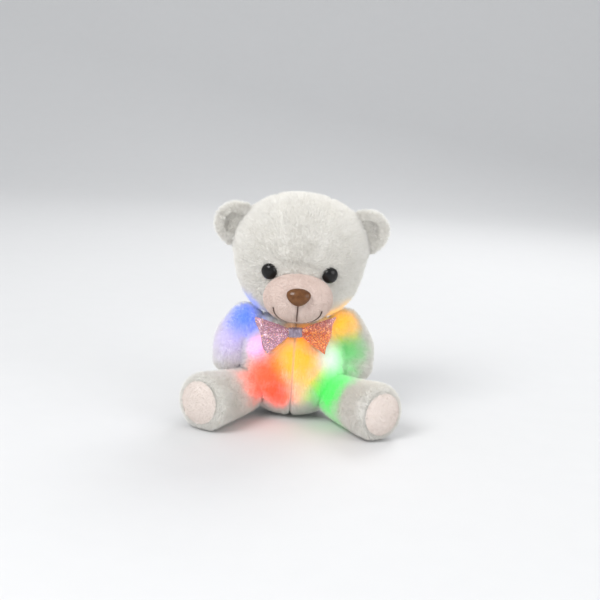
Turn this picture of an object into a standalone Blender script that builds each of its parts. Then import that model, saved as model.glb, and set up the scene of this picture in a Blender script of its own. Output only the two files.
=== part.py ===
"""Sitting teddy bear of plush cloth, stuffed with fibre, with coloured lights in its body.

The bear faces -Y and its left side is +X. The origin is on the floor under the middle of
the body. The body, head and limbs are skins of plush over stuffing. The limbs and the head
are sewn on at round roots that sit in hollows of the body, so each turns about the centre
of its root. A battery box with a push button lies behind a flap in the back, and a cable
runs from it past seven lamps.
"""

import math
from collections import namedtuple

import bmesh
import bpy
from mathutils import Matrix, Vector

MM = 0.001
SIDES = (("left", 1), ("right", -1))

# Cloth, gaps and cuts that every piece shares
PLUSH = 3.0 * MM
VELVET = 1.8 * MM
SEAT_GAP = 0.3 * MM
ROOT_CLEARANCE = 0.5 * MM
LIMB_CLEARANCE = 0.4 * MM
OVERRUN = 9.0 * MM
FLOOR_CUT = 0.5 * MM
MERGE = 0.003 * MM
SHARP_ANGLE = math.radians(40)
STEEP = math.radians(20)

# Body
BODY_HALF_WIDTH = 49.0 * MM
BODY_HALF_DEPTH = 43.0 * MM
BODY_RISE = 47.0 * MM
BODY_DROP = 45.0 * MM
BODY_Y = 2.0 * MM
BODY_FULLNESS = 2.2

# Neck, a ball on top of the body that the head sits on
NECK_RADIUS = 20.0 * MM
NECK_SINK = 12.0 * MM
NECK_HEIGHT = BODY_DROP + BODY_RISE - NECK_SINK
NECK_HOLE_RADIUS = 9.0 * MM
NECK_THREAD_RADIUS = 0.7 * MM
NECK_THREAD_TURN = math.radians(51)

# Head
HEAD_HALF_WIDTH = 58.5 * MM
HEAD_HALF_DEPTH = 50.0 * MM
HEAD_RISE = 50.0 * MM
HEAD_DROP = 57.0 * MM
HEAD_ABOVE_NECK = 66.0 * MM
HEAD_HEIGHT = NECK_HEIGHT + HEAD_ABOVE_NECK
HEAD_TOP_FULLNESS = 2.15
HEAD_JAW_FULLNESS = 3.2
HEAD_JAW_TAPER_SHARE = 0.14
NECK_RELIEF_RADIUS = 57.0 * MM
NECK_RELIEF_RISE = 17.4 * MM
NECK_RELIEF_TOP = NECK_HEIGHT + NECK_RELIEF_RISE

# Ears
EAR_HALF_CHORD = 18.5 * MM
EAR_HALF_LENGTH = 18.5 * MM
EAR_HALF_THICKNESS = 5.5 * MM
EAR_OUT = 6.5 * MM
EAR_INSET = 7.0 * MM
EAR_UP = 17.5 * MM
EAR_ROOT_X = HEAD_HALF_WIDTH - EAR_INSET
EAR_ROOT_Z = HEAD_HEIGHT + EAR_UP
EAR_RAISE = math.radians(26)
EAR_BOWL_RIM = 4.0 * MM
EAR_BOWL_DEPTH = 4.0 * MM

# Muzzle
MUZZLE_HALF_WIDTH = 29.0 * MM
MUZZLE_HALF_DEPTH = 23.0 * MM
MUZZLE_HALF_HEIGHT = 20.5 * MM
MUZZLE_OUT = 1.0 * MM
MUZZLE_BELOW = 32.0 * MM
MUZZLE_Y = -HEAD_HALF_DEPTH - MUZZLE_OUT
MUZZLE_HEIGHT = HEAD_HEIGHT - MUZZLE_BELOW
MUZZLE_FULLNESS = 2.1

# Eyes
EYE_X = 25.4 * MM
EYE_BELOW = 12.5 * MM
EYE_Z = HEAD_HEIGHT - EYE_BELOW
EYE_RADIUS = 6.8 * MM
EYE_RIM = 0.8 * MM
EYE_DOME = 3.8 * MM
EYE_STEPS = 5

# Nose
NOSE_HALF_WIDTH = 9.6 * MM
NOSE_HALF_HEIGHT = 7.2 * MM
NOSE_DOME = 5.6 * MM
NOSE_RIM = 1.0 * MM
NOSE_BED = 4.5 * MM
NOSE_UP = 5.5 * MM
NOSE_Z = MUZZLE_HEIGHT + NOSE_UP
NOSE_SPREAD_SHARE = 0.24

# Shanks of the eyes and the nose, with the washers that lock them
SHANK_RADIUS = 1.8 * MM
SHANK_LENGTH = 10.0 * MM
WASHER_RADIUS = 4.6 * MM
WASHER_THICKNESS = 1.2 * MM
WASHER_BED = 1.6 * MM

# Arms, hanging from the shoulder to the hand
SHOULDER_INSET = 5.0 * MM
SHOULDER_BACK = 4.0 * MM
ELBOW_OUT = 7.0 * MM
ELBOW_BELOW = 16.0 * MM
HAND_OUT = 8.0 * MM
HAND_AHEAD = 8.5 * MM
HAND_BELOW = 32.0 * MM
SHOULDER = Vector((BODY_HALF_WIDTH - SHOULDER_INSET, BODY_Y + SHOULDER_BACK, NECK_HEIGHT))
ELBOW = Vector((BODY_HALF_WIDTH + ELBOW_OUT, BODY_Y, NECK_HEIGHT - ELBOW_BELOW))
HAND = Vector((BODY_HALF_WIDTH + HAND_OUT, BODY_Y - HAND_AHEAD, NECK_HEIGHT - HAND_BELOW))
SHOULDER_RADIUS = 16.0 * MM
ELBOW_RADIUS = 14.8 * MM
HAND_RADIUS = 13.5 * MM
ARM_HOLE_RADIUS = 7.0 * MM

# Legs, lying forward from the hip to the sole
HIP_INSET = 5.0 * MM
HIP_BEHIND = 19.0 * MM
HIP_Z = 22.0 * MM
HIP = Vector((BODY_HALF_WIDTH - HIP_INSET, BODY_Y + HIP_BEHIND - BODY_HALF_DEPTH, HIP_Z))
HIP_RADIUS = 19.5 * MM
LEG_SPLAY = math.radians(35)
FOOT_REACH = 48.5 * MM
CALF_RADIUS = 22.0 * MM
FOOT_RADIUS = 24.5 * MM
SOLE_CROWN = 13.0 * MM
SOLE_SEAM_DEPTH = 6.5 * MM
LEG_LIFT = math.radians(12)

# Bow, a stiff ribbon loop drawn together by a band
BOW_RISE = 1.0 * MM
BOW_Z = NECK_HEIGHT + BOW_RISE
BOW_LEAN = math.radians(16)
BOW_HALF_WIDTH = 34.0 * MM
BOW_END_HALF_HEIGHT = 16.5 * MM
BOW_WAIST_HALF_HEIGHT = 4.5 * MM
BOW_DROOP = 5.5 * MM
BOW_HALF_DEPTH = 4.2 * MM
BOW_WAIST_HALF_DEPTH = 1.3 * MM
RIBBON = 1.0 * MM
BOW_FLARE = 0.85
BOW_SLANT = 9.0 * MM
BOW_FOLD_SHARE = 0.5
CHEST_SINK = 0.7 * MM
BOW_STEPS = 7
BOW_ROWS = 4
KNOT_HALF_WIDTH = 5.0 * MM
KNOT_BAND = 1.5 * MM
KNOT_SLACK = 0.4 * MM
KNOT_ROUND_SHARE = 0.85

# Battery box, in a pocket of the stuffing behind the flap
BOX_WIDTH = 40.0 * MM
BOX_DEPTH = 13.4 * MM
BOX_HEIGHT = 27.0 * MM
BOX_WALL = 1.4 * MM
BOX_FROM_BACK = 26.0 * MM
BOX_ABOVE_MIDDLE = 2.0 * MM
BOX_FRONT_Y = BODY_Y + BODY_HALF_DEPTH - BOX_FROM_BACK
BOX_MIDDLE_Z = BODY_DROP + BOX_ABOVE_MIDDLE
COVER_THICKNESS = 1.6 * MM
CELL_RADIUS = 5.8 * MM
CELL_THICKNESS = 5.4 * MM
CELL_COUNT = 3
CELL_STEP_RADIUS = 4.4 * MM
CELL_STEP = 0.5 * MM
PLATE_THICKNESS = 0.5 * MM
SPRING_LENGTH = 4.0 * MM
SPRING_WIRE_RADIUS = 0.35 * MM
SPRING_RADIUS = 3.4 * MM
SPRING_TURNS = 3
SPRING_TURN_STEPS = 10
SPRING_TAPER_SHARE = 0.33
SCREW_RADIUS = 1.1 * MM
SCREW_HEAD_RADIUS = 2.2 * MM
SCREW_HEAD = 0.9 * MM
SCREW_LENGTH = 8.0 * MM
BOSS_RADIUS = 3.0 * MM
BOSS_INSET = 6.5 * MM
BOSS_X = BOX_WIDTH / 2 - BOSS_INSET
COVER_EDGE = 0.5 * MM

# Circuit board, switch and button
BOARD_SIDE_ROOM = 2.1 * MM
BOARD_WIDTH = BOX_WIDTH - 2 * (BOX_WALL + BOARD_SIDE_ROOM)
BOARD_HEIGHT = 9.0 * MM
BOARD_THICKNESS = 1.2 * MM
BOARD_STAND = 3.0 * MM
SWITCH_WIDTH = 6.0 * MM
SWITCH_HEIGHT = 3.5 * MM
BUTTON_RADIUS = 3.4 * MM
BUTTON_FLANGE_RADIUS = 4.4 * MM
BUTTON_FLANGE = 0.9 * MM
BUTTON_PROUD = 1.8 * MM
BUTTON_TRAVEL = 1.0 * MM
BUTTON_CLEARANCE = 0.35 * MM
BUTTON_CHAMFER = 0.6 * MM

# Back flap with its hook and loop tape
FLAP_HALF_WIDTH = 14.0 * MM
FLAP_TOP = 64.0 * MM
FLAP_BOTTOM = 30.0 * MM
FLAP_SWING_DEPTH = 9.0 * MM
TAPE_THICKNESS = 1.0 * MM
TAPE_HALF_WIDTH = 11.0 * MM
TAPE_HEIGHT = 8.0 * MM
PLACKET_THICKNESS = 1.2 * MM
PLACKET_MARGIN = 1.5 * MM
PLACKET_TUCK = 5.0 * MM

# Lamps: where each sits on the cable, and where it points
LAMP_STAND = 0.7 * MM
LAMP_RADIUS = 2.5 * MM
LAMP_FLANGE_RADIUS = 2.9 * MM
LAMP_FLANGE = 1.0 * MM
LAMP_BARREL = 3.4 * MM
CABLE_RADIUS = 1.1 * MM
CABLE_STEP = 5.5 * MM
CABLE_LEAD = 13.5 * MM
LAMP_DOME_STEPS = 3

Egg = namedtuple("Egg", "centre half_width half_depth rise drop top jaw taper_share")
Lamp = namedtuple("Lamp", "colour spot_shares aim tint")

BODY = Egg(
    Vector((0, BODY_Y, BODY_DROP - FLOOR_CUT)),
    BODY_HALF_WIDTH,
    BODY_HALF_DEPTH,
    BODY_RISE,
    BODY_DROP,
    BODY_FULLNESS,
    BODY_FULLNESS,
    0,
)
HEAD = Egg(
    Vector((0, 0, HEAD_HEIGHT)),
    HEAD_HALF_WIDTH,
    HEAD_HALF_DEPTH,
    HEAD_RISE,
    HEAD_DROP,
    HEAD_TOP_FULLNESS,
    HEAD_JAW_FULLNESS,
    HEAD_JAW_TAPER_SHARE,
)
MUZZLE = Egg(
    Vector((0, MUZZLE_Y, MUZZLE_HEIGHT)),
    MUZZLE_HALF_WIDTH,
    MUZZLE_HALF_DEPTH,
    MUZZLE_HALF_HEIGHT,
    MUZZLE_HALF_HEIGHT,
    MUZZLE_FULLNESS,
    MUZZLE_FULLNESS,
    0,
)
NECK = Vector((0, 0, NECK_HEIGHT))
LAMPS = (
    Lamp("yellow", Vector((0.347, -0.186, 0.761)), Vector((0.7, -0.6, 0.4)), (1.0, 0.75, 0.1)),
    Lamp("blue", Vector((-0.347, -0.186, 0.761)), Vector((-0.7, -0.6, 0.4)), (0.15, 0.3, 1.0)),
    Lamp("pink", Vector((-0.510, -0.349, 0.630)), Vector((-0.7, -0.7, 0)), (1.0, 0.3, 0.6)),
    Lamp("orange", Vector((0, -0.600, 0.609)), Vector((0, -1.0, 0.1)), (1.0, 0.45, 0.05)),
    Lamp("white", Vector((0.510, -0.372, 0.587)), Vector((0.6, -0.8, 0)), (0.9, 1.0, 1.0)),
    Lamp("green", Vector((0.130, -0.558, 0.315)), Vector((0.3, -0.9, -0.1)), (0.15, 1.0, 0.3)),
    Lamp("red", Vector((-0.130, -0.558, 0.283)), Vector((-0.3, -0.9, -0.1)), (1.0, 0.12, 0.08)),
)

# How finely each kind of round form is drawn
OUTER_SIDES = 24
OUTER_RINGS = 12
INNER_SIDES = 16
INNER_RINGS = 8
HOLLOW_SIDES = 18
HOLLOW_RINGS = 9
RELIEF_RINGS = 20
SHINY_SIDES = 20
SHINY_RINGS = 10
LAMP_SIDES = 8
CELL_SIDES = 16
SMALL_SIDES = 12
THREAD_SIDES = 6
OUTER_LIMB_SIDES = 12
INNER_LIMB_SIDES = 8
CABLE_SIDES = 6
CAP_RINGS = 3
CAP_FIRST_SHARE = 0.12


def clear_scene():
    for obj in list(bpy.data.objects):
        bpy.data.objects.remove(obj)


def add_object(name, data):
    obj = bpy.data.objects.new(name, data)
    bpy.context.scene.collection.objects.link(obj)
    return obj


def from_bmesh(name, bm):
    mesh = bpy.data.meshes.new(name)
    bm.to_mesh(mesh)
    bm.free()
    return add_object(name, mesh)


def fix_evaluated(obj):
    """Gives the object the mesh that its modifiers make."""
    graph = bpy.context.evaluated_depsgraph_get()
    mesh = bpy.data.meshes.new_from_object(obj.evaluated_get(graph))
    obj.modifiers.clear()
    obj.data = mesh
    return obj


def combine(target, operation, tools):
    for tool in tools:
        modifier = target.modifiers.new(tool.name, "BOOLEAN")
        modifier.operation = operation
        modifier.solver = "EXACT"
        modifier.object = tool
    fix_evaluated(target)
    for tool in tools:
        bpy.data.objects.remove(tool)
    return target


def cut(target, *tools):
    return combine(target, "DIFFERENCE", tools)


def join(target, *tools):
    return combine(target, "UNION", tools)


def keep_inside(target, *tools):
    return combine(target, "INTERSECT", tools)


def mirrored(point, side):
    return Vector((point.x * side, point.y, point.z))


def facing(direction):
    """The turn that takes +Z to the direction and keeps world up in the local XZ plane."""
    z = direction.normalized()
    up = Vector((0, 0, 1)) if abs(z.z) < math.cos(STEEP) else Vector((0, 1, 0))
    x = up.cross(z).normalized()
    y = z.cross(x)
    return Matrix((x, y, z)).transposed().to_4x4()


def grid_for(inset):
    """How finely a form is drawn: less so where it lies under its cloth."""
    if abs(inset) > VELVET / 2:
        return INNER_SIDES, INNER_RINGS
    return OUTER_SIDES, OUTER_RINGS


def egg(name, form, inset):
    """A closed egg. A fullness over 2 squares its side, and the taper narrows its lower half."""
    bm = bmesh.new()
    sides, rings = grid_for(inset)
    bmesh.ops.create_uvsphere(bm, u_segments=sides, v_segments=rings, radius=1)
    for vert in bm.verts:
        full = form.top if vert.co.z > 0 else form.jaw
        rise = form.rise if vert.co.z > 0 else form.drop
        round_share = math.hypot(vert.co.x, vert.co.y)
        x, y, z = vert.co * (round_share**full + abs(vert.co.z) ** full) ** (-1 / full)
        width = 1 - form.taper_share * max(0, -z)
        vert.co = form.centre + Vector(
            (
                x * width * (form.half_width - inset),
                y * width * (form.half_depth - inset),
                z * (rise - inset),
            )
        )
    return from_bmesh(name, bm)


def ball(name, centre, radius, sides=HOLLOW_SIDES, rings=HOLLOW_RINGS):
    bm = bmesh.new()
    bmesh.ops.create_uvsphere(bm, u_segments=sides, v_segments=rings, radius=radius)
    bmesh.ops.translate(bm, verts=bm.verts, vec=centre)
    return from_bmesh(name, bm)


def block(name, low, high):
    bm = bmesh.new()
    bmesh.ops.create_cube(bm, size=1)
    low, high = Vector(low), Vector(high)
    bmesh.ops.scale(bm, verts=bm.verts, vec=high - low)
    bmesh.ops.translate(bm, verts=bm.verts, vec=(low + high) / 2)
    return from_bmesh(name, bm)


def turned(name, profile, place, sides=SMALL_SIDES, closed=False):
    """A profile of (radius, height) pairs turned about the place's Z axis."""
    bm = bmesh.new()
    verts = [bm.verts.new((radius, 0, height)) for radius, height in profile]
    pairs = list(zip(verts, verts[1:]))
    if closed:
        pairs.append((verts[-1], verts[0]))
    edges = [bm.edges.new(pair) for pair in pairs]
    bmesh.ops.spin(
        bm,
        geom=verts + edges,
        cent=(0, 0, 0),
        axis=(0, 0, 1),
        angle=2 * math.pi,
        steps=sides,
        use_merge=True,
    )
    bmesh.ops.remove_doubles(bm, verts=bm.verts, dist=MERGE)
    bmesh.ops.recalc_face_normals(bm, faces=bm.faces)
    bmesh.ops.transform(bm, matrix=place, verts=bm.verts)
    return from_bmesh(name, bm)


def rod(name, start, end, radius, sides=SMALL_SIDES):
    length = (end - start).length
    place = Matrix.Translation(start) @ facing(end - start)
    return turned(name, [(0, 0), (radius, 0), (radius, length), (0, length)], place, sides)


def tube(name, points, radii, sides):
    """A closed tube along the points, with a radius at each."""
    curve = bpy.data.curves.new(name, "CURVE")
    curve.dimensions = "3D"
    curve.bevel_depth = 1
    curve.bevel_resolution = sides // 2 - 2
    curve.use_fill_caps = True
    spline = curve.splines.new("POLY")
    spline.points.add(len(points) - 1)
    for knot, point, radius in zip(spline.points, points, radii):
        knot.co = (*point, 1)
        knot.radius = radius
    guide = add_object(name + "_guide", curve)
    graph = bpy.context.evaluated_depsgraph_get()
    bm = bmesh.new()
    bm.from_mesh(guide.evaluated_get(graph).to_mesh())
    bpy.data.objects.remove(guide)
    bmesh.ops.remove_doubles(bm, verts=bm.verts, dist=MERGE)
    bmesh.ops.recalc_face_normals(bm, faces=bm.faces)
    return from_bmesh(name, bm)


def smooth_path(points, step):
    """Points about a step apart on a smooth curve through the given ones."""
    path = [points[0]]
    padded = [2 * points[0] - points[1], *points, 2 * points[-1] - points[-2]]
    for before, a, b, after in zip(padded, padded[1:], padded[2:], padded[3:]):
        count = max(2, round((b - a).length / step))
        for i in range(1, count + 1):
            t = i / count
            leave, arrive = (b - before) / 2, (after - a) / 2
            path.append(
                a * (2 * t**3 - 3 * t**2 + 1)
                + leave * (t**3 - 2 * t**2 + t)
                + b * (3 * t**2 - 2 * t**3)
                + arrive * (t**3 - t**2)
            )
    return path


def limb(name, path, radii, end_crown, inset):
    """A tapered limb with a round root at its first point and a domed end past its last."""
    sides = OUTER_LIMB_SIDES if grid_for(inset)[0] == OUTER_SIDES else INNER_LIMB_SIDES
    start = (path[0] - path[1]).normalized()
    finish = (path[-1] - path[-2]).normalized()
    points, widths = [], []
    for i in range(CAP_RINGS):
        angle = math.pi / 2 * (i + CAP_FIRST_SHARE) / CAP_RINGS
        points.append(path[0] + start * (radii[0] - inset) * math.cos(angle))
        widths.append((radii[0] - inset) * math.sin(angle))
    points += path
    widths += [radius - inset for radius in radii]
    for i in range(CAP_RINGS):
        angle = math.pi / 2 * (CAP_RINGS - 1 - i + CAP_FIRST_SHARE) / CAP_RINGS
        points.append(path[-1] + finish * (end_crown - inset) * math.cos(angle))
        widths.append((radii[-1] - inset) * math.sin(angle))
    return tube(name, points, widths, sides)


def body_form(name, inset):
    """The body with its neck, less the hollows that the limbs sit in."""
    form = egg(name, BODY, inset)
    join(form, ball("neck_ball", NECK, NECK_RADIUS - inset, *grid_for(inset)))
    hollows = []
    for _, side in SIDES:
        for place, radius in ((SHOULDER, SHOULDER_RADIUS), (HIP, HIP_RADIUS)):
            hollow = radius + ROOT_CLEARANCE + inset
            hollows.append(ball("hollow", mirrored(place, side), hollow))
    reach = BODY_HALF_WIDTH + OVERRUN
    hollows.append(block("under", (-reach, -reach, -OVERRUN), (reach, reach, inset)))
    return cut(form, *hollows)


def head_form(name, inset):
    """The head, hollowed underneath round the neck ball."""
    relief_centre = Vector((0, 0, NECK_RELIEF_TOP - NECK_RELIEF_RADIUS))
    return cut(
        egg(name, HEAD, inset),
        ball("relief", relief_centre, NECK_RELIEF_RADIUS + inset, OUTER_SIDES, RELIEF_RINGS),
        ball("neck_hollow", NECK, NECK_RADIUS + ROOT_CLEARANCE + inset),
    )


def arm_form(name, side, inset):
    path = smooth_path([mirrored(p, side) for p in (SHOULDER, ELBOW, HAND)], ELBOW_RADIUS)
    radii = spread((SHOULDER_RADIUS, ELBOW_RADIUS, HAND_RADIUS), len(path))
    arm = limb(name, path, radii, HAND_RADIUS, inset)
    return cut(arm, body_form("body_cut", -LIMB_CLEARANCE - inset))


def leg_axis(side):
    hip = mirrored(HIP, side)
    ahead = Vector((math.sin(LEG_SPLAY) * side, -math.cos(LEG_SPLAY), 0))
    foot = hip + ahead * FOOT_REACH
    foot.z = FOOT_RADIUS - FLOOR_CUT
    return hip, foot, (foot - hip).normalized()


def leg_form(name, side, inset):
    """A leg, cut back from the body where it lies and where it is when lifted."""
    hip, foot, ahead = leg_axis(side)
    path = smooth_path([hip, (hip + foot) / 2, foot], FOOT_REACH / 2)
    radii = spread((HIP_RADIUS, CALF_RADIUS, FOOT_RADIUS), len(path))
    leg = limb(name, path, radii, SOLE_CROWN, inset)
    raised = body_form("body_cut_raised", -LIMB_CLEARANCE - inset)
    sideways = ahead.cross(Vector((0, 0, 1)))
    about_hip = Matrix.Translation(hip) @ Matrix.Rotation(-LEG_LIFT, 4, sideways)
    raised.data.transform(about_hip @ Matrix.Translation(-hip))
    return cut(
        leg,
        body_form("body_cut", -LIMB_CLEARANCE - inset),
        raised,
        floor_block(foot, inset),
    )


def floor_block(middle, inset):
    reach = FOOT_REACH + FOOT_RADIUS + OVERRUN
    low = (middle.x - reach, middle.y - reach, -OVERRUN)
    return block("floor", low, (middle.x + reach, middle.y + reach, inset))


def spread(values, count):
    """The values drawn out evenly to as many as the count."""
    out = []
    for i in range(count):
        place = i * (len(values) - 1) / (count - 1)
        k = min(int(place), len(values) - 2)
        out.append(values[k] + (values[k + 1] - values[k]) * (place - k))
    return out


def surface_point(form, x, z):
    """The point on the egg's front at this x and z, and the outward direction there."""
    rise = z - form.centre.z
    full = form.top if rise > 0 else form.jaw
    height = abs(rise) / (form.rise if rise > 0 else form.drop)
    width = 1 - form.taper_share * height if rise < 0 else 1
    round_share = (1 - height**full) ** (1 / full) * width
    across = (x - form.centre.x) / form.half_width
    depth = math.sqrt(round_share**2 - across**2)
    return Vector((x, form.centre.y - form.half_depth * depth, z))


def surface_normal(form, x, z):
    step = SEAT_GAP
    here = surface_point(form, x, z)
    sideways = surface_point(form, x + step, z) - here
    upward = surface_point(form, x, z + step) - here
    return sideways.cross(upward).normalized()


def finish(obj, name, colour, roughness, metallic=0.0, smooth=True):
    """Names the object, shades it and gives it its own material."""
    obj.name = name
    obj.data.name = name
    material = bpy.data.materials.new(name)
    material.use_nodes = True
    shader = material.node_tree.nodes["Principled BSDF"]
    shader.inputs["Base Color"].default_value = (*colour, 1)
    shader.inputs["Roughness"].default_value = roughness
    shader.inputs["Metallic"].default_value = metallic
    obj.data.materials.clear()
    obj.data.materials.append(material)
    if smooth:
        obj.data.shade_smooth()
        obj.data.set_sharp_from_angle(angle=SHARP_ANGLE)
    return obj


def set_origin(obj, point):
    """Moves the object's origin to the point and leaves its shape where it is."""
    obj.data.transform(Matrix.Translation(-Vector(point)))
    obj.location = point
    return obj


IVORY = (0.83, 0.80, 0.76)
FIBRE = (0.92, 0.92, 0.90)
BEIGE = (0.66, 0.52, 0.47)
BLACK = (0.01, 0.01, 0.012)
BROWN = (0.09, 0.04, 0.02)
STEEL = (0.70, 0.70, 0.72)
GREY_PLASTIC = (0.25, 0.25, 0.27)
MAUVE = (0.55, 0.30, 0.36)
SILVER = (0.45, 0.48, 0.55)
GREEN = (0.02, 0.20, 0.07)
RED = (0.60, 0.05, 0.05)
CLEAR = (0.60, 0.60, 0.58)


def shank_place(form, x, z):
    """A place on the egg's front with its Z axis pointing out of the surface."""
    normal = surface_normal(form, x, z)
    point = surface_point(form, x, z) + normal * SEAT_GAP
    return Matrix.Translation(point) @ facing(normal)


def shank_hole(place):
    hole = [(0, -SHANK_LENGTH), (SHANK_RADIUS + SEAT_GAP, -SHANK_LENGTH)]
    hole += [(SHANK_RADIUS + SEAT_GAP, OVERRUN), (0, OVERRUN)]
    return turned("shank_hole", hole, place)


def washer_top(cloth):
    return -(SEAT_GAP + cloth + SEAT_GAP + WASHER_BED)


def washer_pocket(place):
    radius = WASHER_RADIUS + SEAT_GAP
    bottom = -(SHANK_LENGTH + SEAT_GAP)
    return turned("washer_pocket", [(0, bottom), (radius, bottom), (radius, 0), (0, 0)], place)


def make_washer(name, place, cloth):
    inner = SHANK_RADIUS + SEAT_GAP
    top = washer_top(cloth)
    bottom = top - WASHER_THICKNESS
    ring = [(inner, bottom), (WASHER_RADIUS, bottom), (WASHER_RADIUS, top), (inner, top)]
    return finish(turned(name, ring, place, closed=True), name, FIBRE, 0.5)


def make_eye(name, place):
    profile = [(0, -SHANK_LENGTH), (SHANK_RADIUS, -SHANK_LENGTH), (SHANK_RADIUS, 0)]
    profile.append((EYE_RADIUS - EYE_RIM / 2, 0))
    for i in range(EYE_STEPS + 1):
        angle = math.pi / 2 * i / EYE_STEPS
        height = EYE_RIM + (EYE_DOME - EYE_RIM) * math.sin(angle)
        profile.append((EYE_RADIUS * math.cos(angle), height))
    return finish(turned(name, profile, place, SHINY_SIDES), name, BLACK, 0.08)


def make_nose(place):
    """A domed nose on a round shank, wider above than below, whose back follows the muzzle."""
    bm = bmesh.new()
    bmesh.ops.create_uvsphere(bm, u_segments=SHINY_SIDES, v_segments=SHINY_RINGS, radius=1)
    bmesh.ops.rotate(bm, verts=bm.verts, matrix=Matrix.Rotation(math.pi / 2, 3, "X"))
    for vert in bm.verts:
        x, y, z = vert.co
        width = NOSE_HALF_WIDTH * (1 + NOSE_SPREAD_SHARE * y)
        depth = NOSE_DOME - NOSE_RIM if z > 0 else NOSE_BED
        vert.co = Vector((x * width, y * NOSE_HALF_HEIGHT, NOSE_RIM + z * depth))
    nose = from_bmesh("nose", bm)
    nose.data.transform(place)
    cut(nose, egg("muzzle_face", MUZZLE, -SEAT_GAP))
    shank = [(0, -SHANK_LENGTH), (SHANK_RADIUS, -SHANK_LENGTH), (SHANK_RADIUS, NOSE_RIM), (0, NOSE_RIM)]
    join(nose, turned("shank", shank, place))
    return finish(nose, "nose", BROWN, 0.15)


def make_body():
    skin = body_form("body_skin", 0)
    cut(skin, body_form("inside", PLUSH))
    top = Vector((0, 0, NECK_HEIGHT + NECK_RADIUS + OVERRUN))
    cut(skin, rod("neck_hole", NECK, top, NECK_HOLE_RADIUS))
    cut(skin, flap_block(SEAT_GAP, SEAT_GAP))
    return finish(skin, "body_skin", IVORY, 0.95)


def flap_block(side_gap, end_gap):
    """The straight cut through the back that the flap fills."""
    half = FLAP_HALF_WIDTH + side_gap
    low = (-half, BODY_Y + BODY_HALF_DEPTH / 2, FLAP_BOTTOM - end_gap)
    high = (half, BODY_Y + BODY_HALF_DEPTH + OVERRUN, FLAP_TOP)
    return block("flap_cut", low, high)


def back_layer(name, outside, thickness, half_width, low_z, high_z):
    """A strip of the body's back between two depths under its surface."""
    layer = egg(name, BODY, outside)
    low = (-half_width, BODY_Y, low_z)
    high = (half_width, BODY_Y + BODY_HALF_DEPTH + OVERRUN, high_z)
    keep_inside(layer, block("strip", low, high))
    return cut(layer, egg("core", BODY, outside + thickness))


def make_flap():
    flap = back_layer(
        "back_flap", 0, PLUSH, FLAP_HALF_WIDTH, FLAP_BOTTOM, FLAP_TOP - SEAT_GAP
    )
    finish(flap, "back_flap", IVORY, 0.95)
    hinge = (0, flap_hinge_y(), FLAP_TOP)
    set_origin(flap, hinge)
    tape_top = FLAP_BOTTOM + TAPE_HEIGHT + PLACKET_MARGIN
    depth = PLUSH + SEAT_GAP
    hooks = back_layer(
        "hook_tape", depth, TAPE_THICKNESS, TAPE_HALF_WIDTH, tape_top - TAPE_HEIGHT, tape_top
    )
    set_origin(finish(hooks, "hook_tape", IVORY, 0.7), hinge)
    depth += TAPE_THICKNESS + SEAT_GAP
    loops = back_layer(
        "loop_tape", depth, TAPE_THICKNESS, TAPE_HALF_WIDTH, tape_top - TAPE_HEIGHT, tape_top
    )
    finish(loops, "loop_tape", IVORY, 0.9)
    placket = back_layer(
        "placket",
        depth + TAPE_THICKNESS + SEAT_GAP,
        PLACKET_THICKNESS,
        TAPE_HALF_WIDTH + PLACKET_MARGIN,
        FLAP_BOTTOM - PLACKET_TUCK,
        tape_top + PLACKET_MARGIN,
    )
    finish(placket, "placket", IVORY, 0.9)


def flap_hinge_y():
    return 2 * BODY_Y - surface_point(BODY, 0, FLAP_TOP).y


def placket_room():
    """The room that the placket and the tapes take from the stuffing."""
    depth = PLUSH + 3 * SEAT_GAP + 2 * TAPE_THICKNESS + PLACKET_THICKNESS + SEAT_GAP
    half = TAPE_HALF_WIDTH + PLACKET_MARGIN + SEAT_GAP
    low = (-half, BODY_Y, FLAP_BOTTOM - PLACKET_TUCK - SEAT_GAP)
    high = (half, BODY_Y + BODY_HALF_DEPTH + OVERRUN, box_low_z())
    room = block("placket_room", low, high)
    return cut(room, egg("core", BODY, depth))


def box_low_z():
    return BOX_MIDDLE_Z - BOX_HEIGHT / 2


def make_head():
    skin = head_form("head_skin", 0)
    cut(skin, head_form("inside", PLUSH))
    cut(skin, egg("muzzle_cut", MUZZLE, -SEAT_GAP))
    hole_top = Vector((0, 0, NECK_HEIGHT + NECK_RADIUS + OVERRUN))
    cut(skin, rod("neck_hole", NECK, hole_top, NECK_HOLE_RADIUS))
    fill = head_form("head_stuffing", PLUSH + SEAT_GAP)
    join(fill, egg("muzzle_fill", MUZZLE, VELVET + SEAT_GAP))
    for name, side in SIDES:
        place = shank_place(HEAD, EYE_X * side, EYE_Z)
        cut(skin, shank_hole(place))
        cut(fill, washer_pocket(place))
        make_eye(name + "_eye", place)
        make_washer(name + "_eye_washer", place, PLUSH)
    nose_place = shank_place(MUZZLE, 0, NOSE_Z)
    cut(fill, washer_pocket(nose_place))
    make_nose(nose_place)
    make_washer("nose_washer", nose_place, VELVET)
    finish(skin, "head_skin", IVORY, 0.95)
    finish(fill, "head_stuffing", FIBRE, 0.9)
    cup = egg("muzzle", MUZZLE, 0)
    cut(cup, egg("muzzle_inside", MUZZLE, VELVET))
    cut(cup, egg("head_inside", HEAD, PLUSH))
    cut(cup, shank_hole(nose_place))
    finish(cup, "muzzle", BEIGE, 0.9)
    for name, side in SIDES:
        make_ear(name + "_ear", side)
    for obj in bpy.data.objects:
        if obj.name in HEAD_PIECES:
            set_origin(obj, NECK)


HEAD_PIECES = (
    "head_skin",
    "head_stuffing",
    "muzzle",
    "nose",
    "nose_washer",
    "left_eye",
    "right_eye",
    "left_eye_washer",
    "right_eye_washer",
    "left_ear",
    "right_ear",
)


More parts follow.
